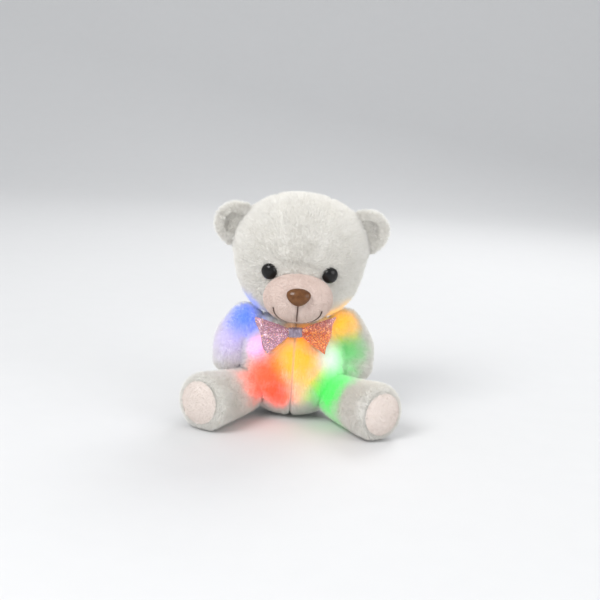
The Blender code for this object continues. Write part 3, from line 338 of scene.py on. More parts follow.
def tube(name, points, radii, sides=LIMB_SIDES):
    """A closed tube along the points, with a radius at each."""
    curve = bpy.data.curves.new(name, "CURVE")
    curve.dimensions = "3D"
    curve.bevel_depth = 1
    curve.bevel_resolution = sides // 2 - 2
    curve.use_fill_caps = True
    spline = curve.splines.new("POLY")
    spline.points.add(len(points) - 1)
    for knot, point, radius in zip(spline.points, points, radii):
        knot.co = (*point, 1)
        knot.radius = radius
    guide = add_object(name + "_guide", curve)
    graph = bpy.context.evaluated_depsgraph_get()
    bm = bmesh.new()
    bm.from_mesh(guide.evaluated_get(graph).to_mesh())
    bpy.data.objects.remove(guide)
    bmesh.ops.remove_doubles(bm, verts=bm.verts, dist=MM / 1000)
    bmesh.ops.recalc_face_normals(bm, faces=bm.faces)
    return from_bmesh(name, bm)


def smooth_path(points, step):
    """Points about a step apart on a smooth curve through the given ones."""
    path = [points[0]]
    padded = [2 * points[0] - points[1], *points, 2 * points[-1] - points[-2]]
    for before, a, b, after in zip(padded, padded[1:], padded[2:], padded[3:]):
        count = max(2, round((b - a).length / step))
        leave, arrive = (b - before) / 2, (after - a) / 2
        for i in range(1, count + 1):
            t = i / count
            point = a * (2 * t**3 - 3 * t**2 + 1) + leave * (t**3 - 2 * t**2 + t)
            path.append(point + b * (3 * t**2 - 2 * t**3) + arrive * (t**3 - t**2))
    return path


def spread(values, count):
    """The values drawn out to as many as the count."""
    at = np.linspace(0, len(values) - 1, count)
    return [float(v) for v in np.interp(at, range(len(values)), values)]


def limb(name, path, radii, end_crown, inset=0.0, sides=LIMB_SIDES):
    """A tapered limb with a round root at its first point and a domed end past its last."""
    start = (path[0] - path[1]).normalized()
    end = (path[-1] - path[-2]).normalized()
    rings = sides // 6
    points, widths = [], []
    for i in range(rings):
        angle = math.pi / 2 * (i + 0.12) / rings
        points.append(path[0] + start * (radii[0] - inset) * math.cos(angle))
        widths.append((radii[0] - inset) * math.sin(angle))
    points += path
    widths += [radius - inset for radius in radii]
    for i in range(rings):
        angle = math.pi / 2 * (rings - 1 - i + 0.12) / rings
        points.append(path[-1] + end * (end_crown - inset) * math.cos(angle))
        widths.append((radii[-1] - inset) * math.sin(angle))
    return tube(name, points, widths, sides)


def body_form(name, inset=0.0, sides=FORM_SIDES):
    """The body with its neck, less the hollows that the limbs sit in."""
    form = egg(name, BODY, inset, sides, sides * 3 // 5)
    join(form, ball("neck_ball", NECK, NECK_RADIUS - inset))
    tools = []
    for _, side in SIDES:
        for place, radius in ((SHOULDER, ARM_RADII[0]), (HIP, LEG_RADII[0])):
            hollow = radius + ROOT_CLEARANCE + inset
            tools.append(ball("hollow", mirrored(place, side), hollow))
    reach = BODY.half_width + OVERRUN
    tools.append(block("under", (-reach, -reach, -OVERRUN), (reach, reach, inset)))
    return cut(form, *tools)


def leg_axis(side):
    hip = mirrored(HIP, side)
    ahead = Vector((math.sin(LEG_SPLAY) * side, -math.cos(LEG_SPLAY), 0))
    foot = hip + ahead * FOOT_REACH
    foot.z = LEG_RADII[-1] - 0.5 * MM
    return hip, foot, (foot - hip).normalized()


def past_sole(side, start):
    """Everything past a distance along the leg's axis."""
    _, foot, ahead = leg_axis(side)
    reach = LEG_RADII[-1] + OVERRUN
    far = SOLE_CROWN + OVERRUN
    place = Matrix.Translation(foot + ahead * start) @ facing(ahead)
    return turned("past_sole", [(0, 0), (reach, 0), (reach, far), (0, far)], place, 24)


def egg_front(form, x, z):
    """The point on the egg's front at this x and z."""
    rise = z - form.centre.z
    full = form.top if rise > 0 else form.jaw
    height = min(1, abs(rise) / (form.rise if rise > 0 else form.drop))
    width = 1 - form.taper_share * height if rise < 0 else 1
    round_share = (1 - height**full) ** (1 / full) * width
    across = (x - form.centre.x) / form.half_width
    depth = math.sqrt(max(0, round_share**2 - across**2))
    return Vector((x, form.centre.y - form.half_depth * depth, z))


def egg_normal(form, x, z):
    step = SEAT_GAP
    here = egg_front(form, x, z)
    sideways = egg_front(form, x + step, z) - here
    upward = egg_front(form, x, z + step) - here
    return sideways.cross(upward).normalized()


def on_front(form, x, z):
    """A place on the egg's front with its Z axis pointing out of it."""
    normal = egg_normal(form, x, z)
    return Matrix.Translation(egg_front(form, x, z) + normal * SEAT_GAP) @ facing(normal)


def soften(obj, seams, lumps, seed):
    """Sinks the seams into a stuffed form and makes it a little uneven, as fibre does."""
    for vert in obj.data.vertices:
        sink = sum(d * math.exp(-((away(vert.co) / w) ** 2)) for away, d, w in seams)
        rise = noise.noise(vert.co * 34 + Vector((seed, 0, 0)))
        rise += 0.5 * noise.noise(vert.co * 90 + Vector((0, seed, 0)))
        vert.co += vert.normal * (rise * lumps - sink)
    return obj


def set_pile(obj, neighbours, seams, flow, settle=NAP):
    """Stores how much of the pile stands at each point and which way it leans.

    Near a neighbour the stuffed form settles out against it and the pile is short. It also
    parts along the seams and is pressed down on the floor.
    """
    mesh = obj.data
    room = 2 * NAP
    walls = {i for face in mesh.polygons if face.material_index for i in face.vertices}
    shares, leans = [], []
    for vert in mesh.vertices:
        share, near = 1.0, 3 * NAP
        for tree in neighbours:
            place, normal, _, distance = tree.find_nearest(vert.co, near)
            if place is not None:
                inside = (vert.co - place).dot(normal) < -VELVET_NAP
                near = 0 if inside else distance
                share = min(share, 0 if inside else 0.35 + distance / room)
        if near and vert.index not in walls:
            vert.co += vert.normal * settle * (1 - near / (3 * NAP))
        if vert.normal.z < 0:
            share = min(share, max(0.1, vert.co.z / (2 * NAP)))
        for away, _, width in seams:
            share *= 1 - 0.8 * math.exp(-((away(vert.co) / width) ** 2))
        lean = flow(vert.co)
        shares.append(share)
        leans.extend(lean - vert.normal * lean.dot(vert.normal))
    mesh.attributes.new("pile", "FLOAT", "POINT").data.foreach_set("value", shares)
    mesh.attributes.new("lean", "FLOAT_VECTOR", "POINT").data.foreach_set("vector", leans)


def add_node(tree, kind, settings=None, inputs=None):
    """A node with its settings made and its inputs given values or linked to sockets."""
    node = tree.nodes.new(kind)
    for key, value in (settings or {}).items():
        setattr(node, key, value)
    for key, value in (inputs or {}).items():
        if isinstance(value, bpy.types.NodeSocket):
            tree.links.new(value, node.inputs[key])
        else:
            node.inputs[key].default_value = value
    return node


def maths(tree, operation, *values, **settings):
    settings["operation"] = operation
    return add_node(tree, "ShaderNodeMath", settings, dict(enumerate(values))).outputs[0]


def scaled(tree, vector, share):
    inputs = {0: vector, "Scale": share}
    return add_node(tree, "ShaderNodeVectorMath", {"operation": "SCALE"}, inputs).outputs[0]


def vector_sum(tree, a, b, operation="ADD"):
    settings = {"operation": operation}
    return add_node(tree, "ShaderNodeVectorMath", settings, {0: a, 1: b}).outputs[0]


def ramp(tree, value, low, high, at_low=0.0, at_high=1.0, kind="LINEAR"):
    """A value that goes from one level to another as its source goes from low to high."""
    labels = ("Value", "From Min", "From Max", "To Min", "To Max")
    inputs = dict(zip(labels, (value, low, high, at_low, at_high)))
    return add_node(tree, "ShaderNodeMapRange", {"interpolation_type": kind}, inputs).outputs[0]


def object_place(tree):
    return add_node(tree, "ShaderNodeTexCoord").outputs["Object"]


def axis_of(tree, vector, axis):
    return add_node(tree, "ShaderNodeSeparateXYZ", None, {0: vector}).outputs[axis]


def tree_noise(tree, place, scale, detail=2.0, output=0):
    inputs = {"Vector": place, "Scale": scale, "Detail": detail}
    return add_node(tree, "ShaderNodeTexNoise", None, inputs).outputs[output]


def new_group(name, kind, inputs, outputs):
    """A node group with (name, socket type, default) inputs and (name, socket type) outputs."""
    tree = bpy.data.node_groups.new(name, kind)
    for label, socket, default in inputs:
        made = tree.interface.new_socket(label, in_out="INPUT", socket_type=socket)
        if default is not None:
            made.default_value = default
    for label, socket in outputs:
        tree.interface.new_socket(label, in_out="OUTPUT", socket_type=socket)
    return tree, tree.nodes.new("NodeGroupInput"), tree.nodes.new("NodeGroupOutput")


def kept_as(name, kind="materials"):
    """Lets a function that builds the named material or node group build it only once."""

    def wrap(build):
        def find():
            known = getattr(bpy.data, kind)
            if name not in known:
                build(name)
            return known[name]

        return find

    return wrap


@kept_as("bear_pile", "node_groups")
def pile_group(name):
    """Tufts: one closed, three-sided cone for each scattered point of the cloth."""
    floats = {"Density": 1.0, "Length": 1.0, "Width": 1.0, "Clumping": 0.5, "Half": 0.0}
    inputs = [("Cloth", "NodeSocketGeometry", None)]
    inputs += [(label, "NodeSocketFloat", value) for label, value in floats.items()]
    inputs += [("Seed", "NodeSocketInt", 0), ("Finish", "NodeSocketMaterial", None)]
    outputs = [("Tufts", "NodeSocketGeometry")]
    tree, given, result = new_group(name, "GeometryNodeTree", inputs, outputs)
    given = given.outputs

    def make(kind, settings=None, **inputs):
        inputs = {key.replace("_", " "): value for key, value in inputs.items()}
        return add_node(tree, kind, settings, inputs).outputs[0]

    def attribute(label, kind):
        settings = {"data_type": kind}
        node = add_node(tree, "GeometryNodeInputNamedAttribute", settings, {"Name": label})
        return node.outputs["Attribute"]

    def random(kind, low, high, seed):
        first = {"FLOAT_VECTOR": 0, "FLOAT": 2}[kind]
        inputs = {first: low, first + 1: high, "Seed": seed}
        node = add_node(tree, "FunctionNodeRandomValue", {"data_type": kind}, inputs)
        return node.outputs[first // 2]

    slot = make("GeometryNodeInputMaterialIndex")
    outside = maths(tree, "LESS_THAN", slot, 0.5)
    long_enough = maths(tree, "GREATER_THAN", attribute("pile", "FLOAT"), LEAST_PILE)
    place = make("GeometryNodeInputPosition")
    this_half = maths(tree, "MULTIPLY", axis_of(tree, place, "Y"), given["Half"])
    this_half = maths(tree, "GREATER_THAN", this_half, -1e-9)
    chosen = maths(tree, "MULTIPLY", maths(tree, "MULTIPLY", outside, long_enough), this_half)
    points = {"Mesh": given["Cloth"], "Selection": chosen}
    points.update({key: given[key] for key in ("Density", "Seed")})
    scatter = add_node(tree, "GeometryNodeDistributePointsOnFaces", None, points).outputs
    rooted = {"Geometry": scatter["Points"], "Name": "root", "Value": place}
    store = {"data_type": "FLOAT_VECTOR"}
    rooted = add_node(tree, "GeometryNodeStoreNamedAttribute", store, rooted).outputs[0]
    swirls = []
    for scale, detail in ((WIDE_SWIRL, 1.0), (FINE_SWIRL, 0.0)):
        colour = tree_noise(tree, place, scale, detail, "Color")
        swirls.append(vector_sum(tree, colour, (0.5, 0.5, 0.5), "SUBTRACT"))
    clumping = maths(tree, "MULTIPLY", given["Clumping"], 3.0)
    swirl = scaled(tree, vector_sum(tree, *swirls), clumping)
    stray = random("FLOAT_VECTOR", (-STRAY, -STRAY, -STRAY), (STRAY, STRAY, STRAY), 3)
    aim = vector_sum(tree, scatter["Normal"], attribute("lean", "FLOAT_VECTOR"))
    aim = vector_sum(tree, vector_sum(tree, aim, swirl), stray)
    turn = make("FunctionNodeAlignRotationToVector", {"axis": "Z"}, Vector=aim)
    spin = make("ShaderNodeCombineXYZ", Z=random("FLOAT", 0.0, 2 * math.pi, 5))
    local = {"rotation_space": "LOCAL"}
    spun = make("FunctionNodeRotateRotation", local, Rotation=turn, Rotate_By=spin)
    tall = maths(tree, "MULTIPLY", given["Length"], attribute("pile", "FLOAT"))
    tall = maths(tree, "MULTIPLY", tall, random("FLOAT", 0.65, 1.15, 7))
    size = make("ShaderNodeCombineXYZ", X=given["Width"], Y=given["Width"], Z=tall)
    cone = {"Vertices": 3, "Radius Top": 0.0, "Radius Bottom": 1.0, "Depth": 1.0}
    cone = add_node(tree, "GeometryNodeMeshCone", {"fill_type": "NGON"}, cone).outputs["Mesh"]
    tufts = {"Points": rooted, "Instance": cone, "Rotation": spun, "Scale": size}
    tufts = add_node(tree, "GeometryNodeInstanceOnPoints", None, tufts).outputs[0]
    real = make("GeometryNodeRealizeInstances", Geometry=tufts)
    painted = make("GeometryNodeSetMaterial", Geometry=real, Material=given["Finish"])
    tree.links.new(painted, result.inputs[0])


def map_tufts(mesh):
    """Lays each tuft at its root's place on one round map, so that all share a single bake."""
    roots = np.empty(len(mesh.vertices) * 3, np.float32)
    mesh.attributes["root"].data.foreach_get("vector", roots)
    roots = roots.reshape(-1, 3)
    out = roots - (roots.max(0) + roots.min(0)) / 2
    far = np.linalg.norm(out, axis=1).clip(1e-6)
    u = np.arctan2(out[:, 0], -out[:, 1]) / (2 * np.pi) + 0.5
    v = np.arccos((out[:, 2] / far).clip(-1, 1)) / np.pi
    uv = np.stack([u, v], 1) * 0.99 + 0.005
    at = np.empty(len(mesh.loops), np.int32)
    mesh.loops.foreach_get("vertex_index", at)
    corner = np.array([[0, 0], [0.003, 0], [0, 0.003], [0.003, 0.003]], np.float32)
    spot = (uv[at] + corner[at % 4]).clip(0, 1).astype(np.float32)
    layer = mesh.uv_layers.new(name="OFBake")
    layer.data.foreach_set("uv", spot.ravel())
    mesh.attributes.remove(mesh.attributes["root"])


def attach(obj, body):
    """Lets a piece ride on one body; given anything else, such as the two bodies and the fold, it
    only bakes the piece's place into its mesh.
    """
    if isinstance(body, str):
        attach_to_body(obj, body)
    else:
        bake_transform(obj)


def grow(name, cloth, body, finish, length, density, half=0.0, seed=1, width=None):
    """The pile of one cloth, as a piece of its own that rides with it."""
    pile = bpy.context.scene.bear_pile
    obj = copy_of(cloth, name)
    modifier = obj.modifiers.new("pile", "NODES")
    tree = modifier.node_group = pile_group()
    values = {
        "Density": density * 1e6,
        "Length": length,
        "Width": width or pile.width,
        "Clumping": pile.clumping,
        "Half": half,
        "Seed": seed,
        "Finish": finish,
    }
    for item in tree.interface.items_tree:
        if item.in_out == "INPUT" and item.name in values:
            modifier[item.identifier] = values[item.name]
    apply_modifiers(obj)
    map_tufts(obj.data)
    drop_pile(obj)
    place_piece(obj, body, "velvet" if finish.name.startswith("velvet") else "plush")
    return obj


def grow_plush(name, cloth, body, seed, half=0.0, thickness=1.0):
    """The ivory pile of one cloth, at the user's length and density."""
    pile = bpy.context.scene.bear_pile
    density = pile.density * thickness
    return grow(name, cloth, body, plush_finish(), pile.length, density, half, seed)


def grow_halves(name, cloth, body, seed, thickness=1.0):
    """The pile of a large cloth, as two pieces."""
    for half, where in ((1.0, "back"), (-1.0, "front")):
        grow_plush(name + where, cloth, body, seed, half, thickness)


def grow_velvet(name, cloth, body, finish, length, seed):
    grow(name, cloth, body, finish, length, VELVET_DENSITY, 0.0, seed, 0.16 * MM)


@kept_as("bear_glow", "node_groups")
def glow_group(name):
    """How much of each lamp's colour comes through at a place on the cloth."""
    outputs = [("Tint", "NodeSocketColor"), ("Amount", "NodeSocketFloat")]
    tree, _, result = new_group(name, "ShaderNodeTree", [], outputs)
    place = object_place(tree)
    ripple = tree_noise(tree, place, GLOW_RIPPLE)
    total, mixed = None, None
    for glow in GLOWS:
        reach = glow.reach * MM
        lamp = {0: place, 1: Vector(glow.place) * MM}
        measure = add_node(tree, "ShaderNodeVectorMath", {"operation": "DISTANCE"}, lamp)
        distance = measure.outputs["Value"]
        uneven = maths(tree, "MULTIPLY_ADD", ripple, reach * GLOW_UNEVEN, distance)
        ends = (reach * GLOW_CORE, reach * GLOW_RIM)
        share = ramp(tree, uneven, *ends, glow.share, 0.0, "SMOOTHERSTEP")
        tint = scaled(tree, glow.colour, share)
        if total is None:
            total, mixed = share, tint
            continue
        total = maths(tree, "ADD", total, share)
        mixed = vector_sum(tree, mixed, tint)
    inverse = maths(tree, "DIVIDE", 1.0, maths(tree, "MAXIMUM", total, GLOW_FAINTEST))
    capped = maths(tree, "MINIMUM", total, GLOW_FULLEST, use_clamp=True)
    off_middle = maths(tree, "ABSOLUTE", axis_of(tree, place, "X"))
    past_seam = ramp(tree, off_middle, 0.2 * MM, 1.6 * MM, SEAM_GLOW, 1.0, "SMOOTHSTEP")
    tree.links.new(scaled(tree, mixed, inverse), result.inputs["Tint"])
    tree.links.new(maths(tree, "MULTIPLY", capped, past_seam), result.inputs["Amount"])


@kept_as("bear_mottle", "node_groups")
def mottle_group(name):
    """Uneven colour at the two sizes that brushed pile shows."""
    inputs = [("Broad", "NodeSocketFloat", 60.0), ("Fine", "NodeSocketFloat", 380.0)]
    outputs = [("Share", "NodeSocketFloat")]
    tree, given, result = new_group(name, "ShaderNodeTree", inputs, outputs)
    place = object_place(tree)
    layers = [tree_noise(tree, place, given.outputs[size], 3.0) for size in ("Broad", "Fine")]
    share = ramp(tree, maths(tree, "ADD", *layers), 0.7, 1.3)
    tree.links.new(share, result.inputs[0])


@kept_as("bear_weave", "node_groups")
def weave_group(name):
    """Crossed threads as a height, for the woven cloth behind the pile and for tapes."""
    inputs = [("Threads a metre", "NodeSocketFloat", 1800.0)]
    outputs = [("Height", "NodeSocketFloat")]
    tree, given, result = new_group(name, "ShaderNodeTree", inputs, outputs)
    waves = {"Vector": object_place(tree), "Scale": given.outputs["Threads a metre"]}
    bands = []
    for axis in ("X", "Z"):
        settings = {"wave_type": "BANDS", "bands_direction": axis}
        bands.append(add_node(tree, "ShaderNodeTexWave", settings, waves).outputs["Fac"])
    tree.links.new(maths(tree, "MAXIMUM", *bands), result.inputs[0])


def new_material(name, **constants):
    """A material's tree and Principled node, with constant values on the node's own sockets."""
    material = bpy.data.materials.new(name)
    material.use_nodes = True
    shader = material.node_tree.nodes["Principled BSDF"]
    for key, value in constants.items():
        shader.inputs[key.replace("_", " ").title().replace("Ior", "IOR")].default_value = value
    return material.node_tree, shader


def group_value(tree, group, **inputs):
    """The first output of a node group whose inputs have these values."""
    node = tree.nodes.new("ShaderNodeGroup")
    node.node_tree = group
    for key, value in inputs.items():
        node.inputs[key.replace("_", " ").capitalize()].default_value = value
    return node.outputs[0]


def mix_colours(tree, factor, a, b):
    node = tree.nodes.new("ShaderNodeMix")
    node.data_type = "RGBA"
    for key, value in ((0, factor), (6, a), (7, b)):
        if isinstance(value, bpy.types.NodeSocket):
            tree.links.new(value, node.inputs[key])
        else:
            node.inputs[key].default_value = value if key == 0 else (*value[:3], 1)
    return node.outputs[2]


def mottled(tree, broad, fine, dark, light):
    """An uneven share and the colour that it gives between two tones."""
    share = group_value(tree, mottle_group(), broad=broad, fine=fine)
    return share, mix_colours(tree, share, dark, light)


def dented(tree, shader, height, depth):
    """Feeds a height to the shader's normal."""
    inputs = {"Height": height, "Distance": depth, "Strength": 0.6}
    bump = add_node(tree, "ShaderNodeBump", None, inputs)
    tree.links.new(bump.outputs[0], shader.inputs["Normal"])


def woven(tree, shader):
    """Dents a surface as coarse cloth is dented."""
    dented(tree, shader, group_value(tree, weave_group(), threads_a_metre=900.0), 0.2 * MM)


def glowing(tree, shader, colour, strength):
    """Tints the colour and lights it where the lamps shine through."""
    tint = group_value(tree, glow_group())
    amount = tint.node.outputs["Amount"]
    deep = maths(tree, "MULTIPLY", amount, GLOW_TINT)
    tree.links.new(mix_colours(tree, deep, colour, tint), shader.inputs["Base Color"])
    lit = scaled(tree, tint, maths(tree, "MULTIPLY", amount, strength))
    tree.links.new(lit, shader.inputs["Emission Color"])


@kept_as("plush_ivory")
def plush_finish(name):
    colours = bpy.context.scene.bear_colours
    looks = {"roughness": 0.85, "sheen_weight": 0.25, "sheen_roughness": 0.4}
    tree, shader = new_material(name, **looks, emission_strength=1.0)
    ivory = mottled(tree, 70.0, 420.0, colours.plush_shade, colours.plush)[1]
    glowing(tree, shader, ivory, colours.glow)


@kept_as("plush_backing")
def backing_finish(name):
    """The knitted back of the plush, where a cut edge or the inside shows."""
    colours = bpy.context.scene.bear_colours
    tree, shader = new_material(name, roughness=0.9, emission_strength=1.0)
    cloth = mottled(tree, 90.0, 800.0, colours.plush_shade, colours.plush)[1]
    glowing(tree, shader, cloth, colours.glow)
    woven(tree, shader)


def make_velvet(name, paler):
    """Short pile for the muzzle and, paler, for the soles."""
    colours = bpy.context.scene.bear_colours
    tree, shader = new_material(name, roughness=0.8, sheen_weight=0.35, sheen_roughness=0.35)
    share, colour = mottled(tree, 110.0, 900.0, colours.velvet_shade, colours.velvet)
    colour = mix_colours(tree, paler, colour, colours.plush)
    tree.links.new(colour, shader.inputs["Base Color"])
    dented(tree, shader, share, 0.15 * MM)


@kept_as("velvet_beige")
def velvet_finish(name):
    make_velvet(name, 0.0)


@kept_as("velvet_pale")
def sole_finish(name):
    make_velvet(name, SOLE_PALENESS)


def smooth(obj, degrees):
    """Rounds the shading of all but the edges that turn by more than the angle."""
    obj.data.shade_smooth()
    obj.data.set_sharp_from_angle(angle=math.radians(degrees))


def drop_pile(obj):
    """Removes what grow() read, which a finished piece has no use for."""
    for name in ("pile", "lean"):
        if name in obj.data.attributes:
            obj.data.attributes.remove(obj.data.attributes[name])


def place_piece(obj, body, slot, *replaced):
    """Gives a finished piece its body and hides the solids that it stands for; the slot is not
    used.
    """
    attach(obj, body)
    if replaced:
        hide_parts(*replaced)


def finish_cloth(obj, outside, body, slot, replaced=()):
    """Gives a cloth piece its two finishes and its body, and hides what it stands for; the slot
    is not used.
    """
    obj.data.materials.clear()
    obj.data.materials.append(outside)
    obj.data.materials.append(backing_finish())
    smooth(obj, 50)
    drop_pile(obj)
    place_piece(obj, body, slot, *replaced)


def near_nodes(*names):
    """Trees of the frame's solids, for telling how close they lie to a point."""
    trees = []
    for name in names:
        bm = bmesh.new()
        bm.from_mesh(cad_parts[name].data)
        trees.append(BVHTree.FromBMesh(bm))
        bm.free()
    return trees


def middle_seam(point):
    return abs(point.x)


def make_body():
    """The body's plush skin with the hole for the flap, and its pile."""
    pile = bpy.context.scene.bear_pile
    outer = body_form("body_plush", NAP)
    seams = [(middle_seam, pile.seam_depth, 1.5 * MM)]
    soften(outer, seams, 0.5 * MM, 3)
    shoulders = BODY.centre.z + 0.7 * BODY.rise
    for vert in outer.data.vertices:
        off_neck = math.hypot(vert.co.x, vert.co.y) / NECK_RADIUS - 1
        high = (vert.co.z - shoulders) / (0.15 * BODY.rise)
        vert.co.z += NAP * max(0, min(1, high, off_neck * 4))
    low = (-FLAP_HALF_WIDTH - SEAT_GAP, BODY.half_depth / 2, FLAP_LOW - SEAT_GAP)
    high = (FLAP_HALF_WIDTH + SEAT_GAP, BODY.half_depth + 2 * OVERRUN, FLAP_HIGH)
    cut(outer, block("flap_window", low, high))
    around = ["head_skin", "bow_knot", "bow_ribbon", "muzzle"]
    around += [f"{name}_{limb}_skin" for name, _ in SIDES for limb in ("arm", "leg")]
    flow = lambda p: Vector((math.copysign(0.12, p.x), 0, -0.65))
    set_pile(outer, near_nodes(*around), seams, flow)
    for vert, share in zip(outer.data.vertices, outer.data.attributes["pile"].data):
        if vert.co.z > shoulders and math.hypot(vert.co.x, vert.co.y) > 1.1 * NECK_RADIUS:
            share.value = max(share.value, SHOULDER_SHARE)
    grow_halves("body_pile_", outer, "body", 11)
    cut(outer, body_form("inside", NAP + pile.seam_depth + 2 * VELVET_NAP, 48))
    finish_cloth(outer, backing_finish(), "body", "plush", ["body_skin"])


def make_stuffing():
    """The fibre filling behind the flap, with the pocket for the battery box."""
    fill = copy_of(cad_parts["body_stuffing"], "body_fibre")
    bm = bmesh.new()
    bm.from_mesh(fill.data)
    bmesh.ops.remove_doubles(bm, verts=bm.verts, dist=MM / 100)
    bm.to_mesh(fill.data)
    bm.free()
    remesh = fill.modifiers.new("even", "REMESH")
    remesh.mode = "VOXEL"
    remesh.voxel_size = 1.6 * MM
    apply_modifiers(fill)
    for vert in fill.data.vertices:
        bumps = noise.noise(vert.co * 260) + 0.6 * noise.noise(vert.co * 520)
        vert.co += vert.normal * (bumps * 0.35 - 1.3) * MM
    fill.data.materials.clear()
    fill.data.materials.append(fibre_finish())
    fill.data.shade_smooth()
    place_piece(fill, "body", "stuffing", "body_stuffing")


def make_head():
    """The head's stuffed plush form and its pile, parted along its seams and eyes."""
    pile = bpy.context.scene.bear_pile
    head = egg("head_plush", HEAD, NAP)
    relief = Vector((0, 0, NECK_RELIEF_TOP - NECK_RELIEF_RADIUS))
    all_outside(cut(head, ball("relief", relief, NECK_RELIEF_RADIUS + NAP, 96)))
    cut(
        head,
        ball("neck_hollow", NECK, NECK_RADIUS + ROOT_CLEARANCE),
        egg("muzzle_pocket", MUZZLE, VELVET_NAP - SEAT_GAP, 72, 40),
    )
    eyes = [egg_front(HEAD, EYE_X * side, EYE_Z) for _, side in SIDES]

    def gusset_seam(point):
        over = max(0, point.z - HEAD.centre.z) + max(0, point.y)
        return abs(abs(point.x) - 13 * MM - 0.2 * over) if over else 9 * MM

    def eye_middle(point):
        return min((point - eye).length for eye in eyes)

    seams = [(gusset_seam, pile.seam_depth * 0.4, 1.1 * MM)]
    soften(head, seams + [(eye_middle, 1.3 * MM, 8 * MM)], 0.6 * MM, 7)
    around = ["muzzle", "left_eye", "right_eye", "left_ear", "right_ear", "body_skin"]
    around += ["left_arm_skin", "right_arm_skin", "bow_ribbon"]
    flow = lambda p: (p - MUZZLE.centre).normalized() * 0.7
    set_pile(head, near_nodes(*around), seams, flow)
    grow_halves("head_pile_", head, "head", 21, HEAD_THICKNESS)
    replaced = ["head_skin", "head_stuffing"]
    finish_cloth(head, backing_finish(), "head", "plush", replaced)


def make_ears():
    """Two round ears, dished in front, with their pile."""
    for name, side in SIDES:
        along = Vector((math.cos(EAR_RAISE) * side, 0, math.sin(EAR_RAISE)))
        across = Vector((0, -1, 0)).cross(along)
        middle = mirrored(EAR_ROOT, side) + along * EAR_OUT
        place = Matrix((along, Vector((0, -1, 0)), across)).transposed().to_4x4()
        place = Matrix.Translation(middle) @ place
        forms = []
        trim = Vector((1, 0.5, 1)) * NAP * 0.7
        for label, half, shift in (("ear", EAR_HALF, 0), ("bowl", EAR_BOWL, EAR_HALF.y)):
            bm = bmesh.new()
            bmesh.ops.create_uvsphere(bm, u_segments=64, v_segments=32, radius=1)
            bmesh.ops.scale(bm, verts=bm.verts, vec=half - trim)
            bmesh.ops.translate(bm, verts=bm.verts, vec=(0, shift, 0))
            bmesh.ops.transform(bm, matrix=place, verts=bm.verts)
            bmesh.ops.recalc_face_normals(bm, faces=bm.faces)
            forms.append(from_bmesh(label, bm))
        ear, bowl = forms
        ear.name = name + "_ear_plush"
        all_outside(cut(ear, bowl))
        cut(ear, egg("head_room", HEAD, -SEAT_GAP, 72, 40))
        soften(ear, [], 0.5 * MM, 13 + side)
        flow = lambda p: (p - mirrored(EAR_ROOT, side)).normalized() * 0.5
        set_pile(ear, near_nodes("head_skin"), [], flow)
        grow_plush(name + "_ear_pile", ear, "head", 31, 0.0, EAR_THICKNESS)
        finish_cloth(ear, backing_finish(), "head", "plush", [name + "_ear"])


# The mouth on the muzzle's front, in mm: a line down from the nose, and the smile
SMILE_X = (-20.5, -19.0, -14.5, -7.5, 0, 7.5, 14.5, 19.0, 20.5)
SMILE_Z = (108.5, 103.0, 97.8, 95.0, 94.4, 95.0, 97.6, 102.6, 107.5)
MOUTH = (
    ((0, 113.0), (0, 108.5), (-0.2, 103.0), (0, 96.3)),
    tuple(zip(SMILE_X, SMILE_Z)),
)


def mouth_lines():
    lines = []
    for line in MOUTH:
        flat = smooth_path([Vector((x, 0, z)) * MM for x, z in line], 1.0 * MM)
        lines.append([egg_front(MUZZLE, p.x, p.z) for p in flat])
    return lines


def make_muzzle():
    """The sewn pouch of short pile round the nose, with its stitched mouth."""
    muzzle = egg("muzzle_pouch", MUZZLE, VELVET_NAP, 96, 60)
    cut(muzzle, egg("head_room", HEAD, PLUSH, 72, 40))
    lines = mouth_lines()
    points = [p for line in lines for p in line]

    def mouth(point):
        return min((point - p).length for p in points)

    seams = [(mouth, 0.9 * MM, 2.2 * MM)]
    soften(muzzle, seams, 0.35 * MM, 17)
    flow = lambda p: Vector((math.copysign(0.25, p.x), 0.1, -0.25))
    narrow = [(mouth, 0.9 * MM, 1.1 * MM)]
    set_pile(muzzle, near_nodes("nose"), narrow, flow, 0)
    grow_velvet("muzzle_pile", muzzle, "head", velvet_finish(), 1.1 * MM, 41)
    finish_cloth(muzzle, velvet_finish(), "head", "velvet", ["muzzle"])
    stitches = []
    for line in lines:
        sunk = [p - (p - MUZZLE.centre).normalized() * VELVET_NAP for p in line]
        for i in range(0, len(sunk) - 1, 3):
            stitch = sunk[max(0, i - 1) : i + 4]
            turn = math.pi / (len(stitch) + 0.4)
            radii = [0.52 * MM * math.sin(turn * (k + 0.7)) ** 0.4 for k in range(len(stitch))]
            stitches.append(tube("stitch", stitch, radii, 10))
    thread = sewn("mouth_thread", stitches, thread_finish("mouth_brown", MOUTH_BROWN))
    place_piece(thread, "head", "nose")


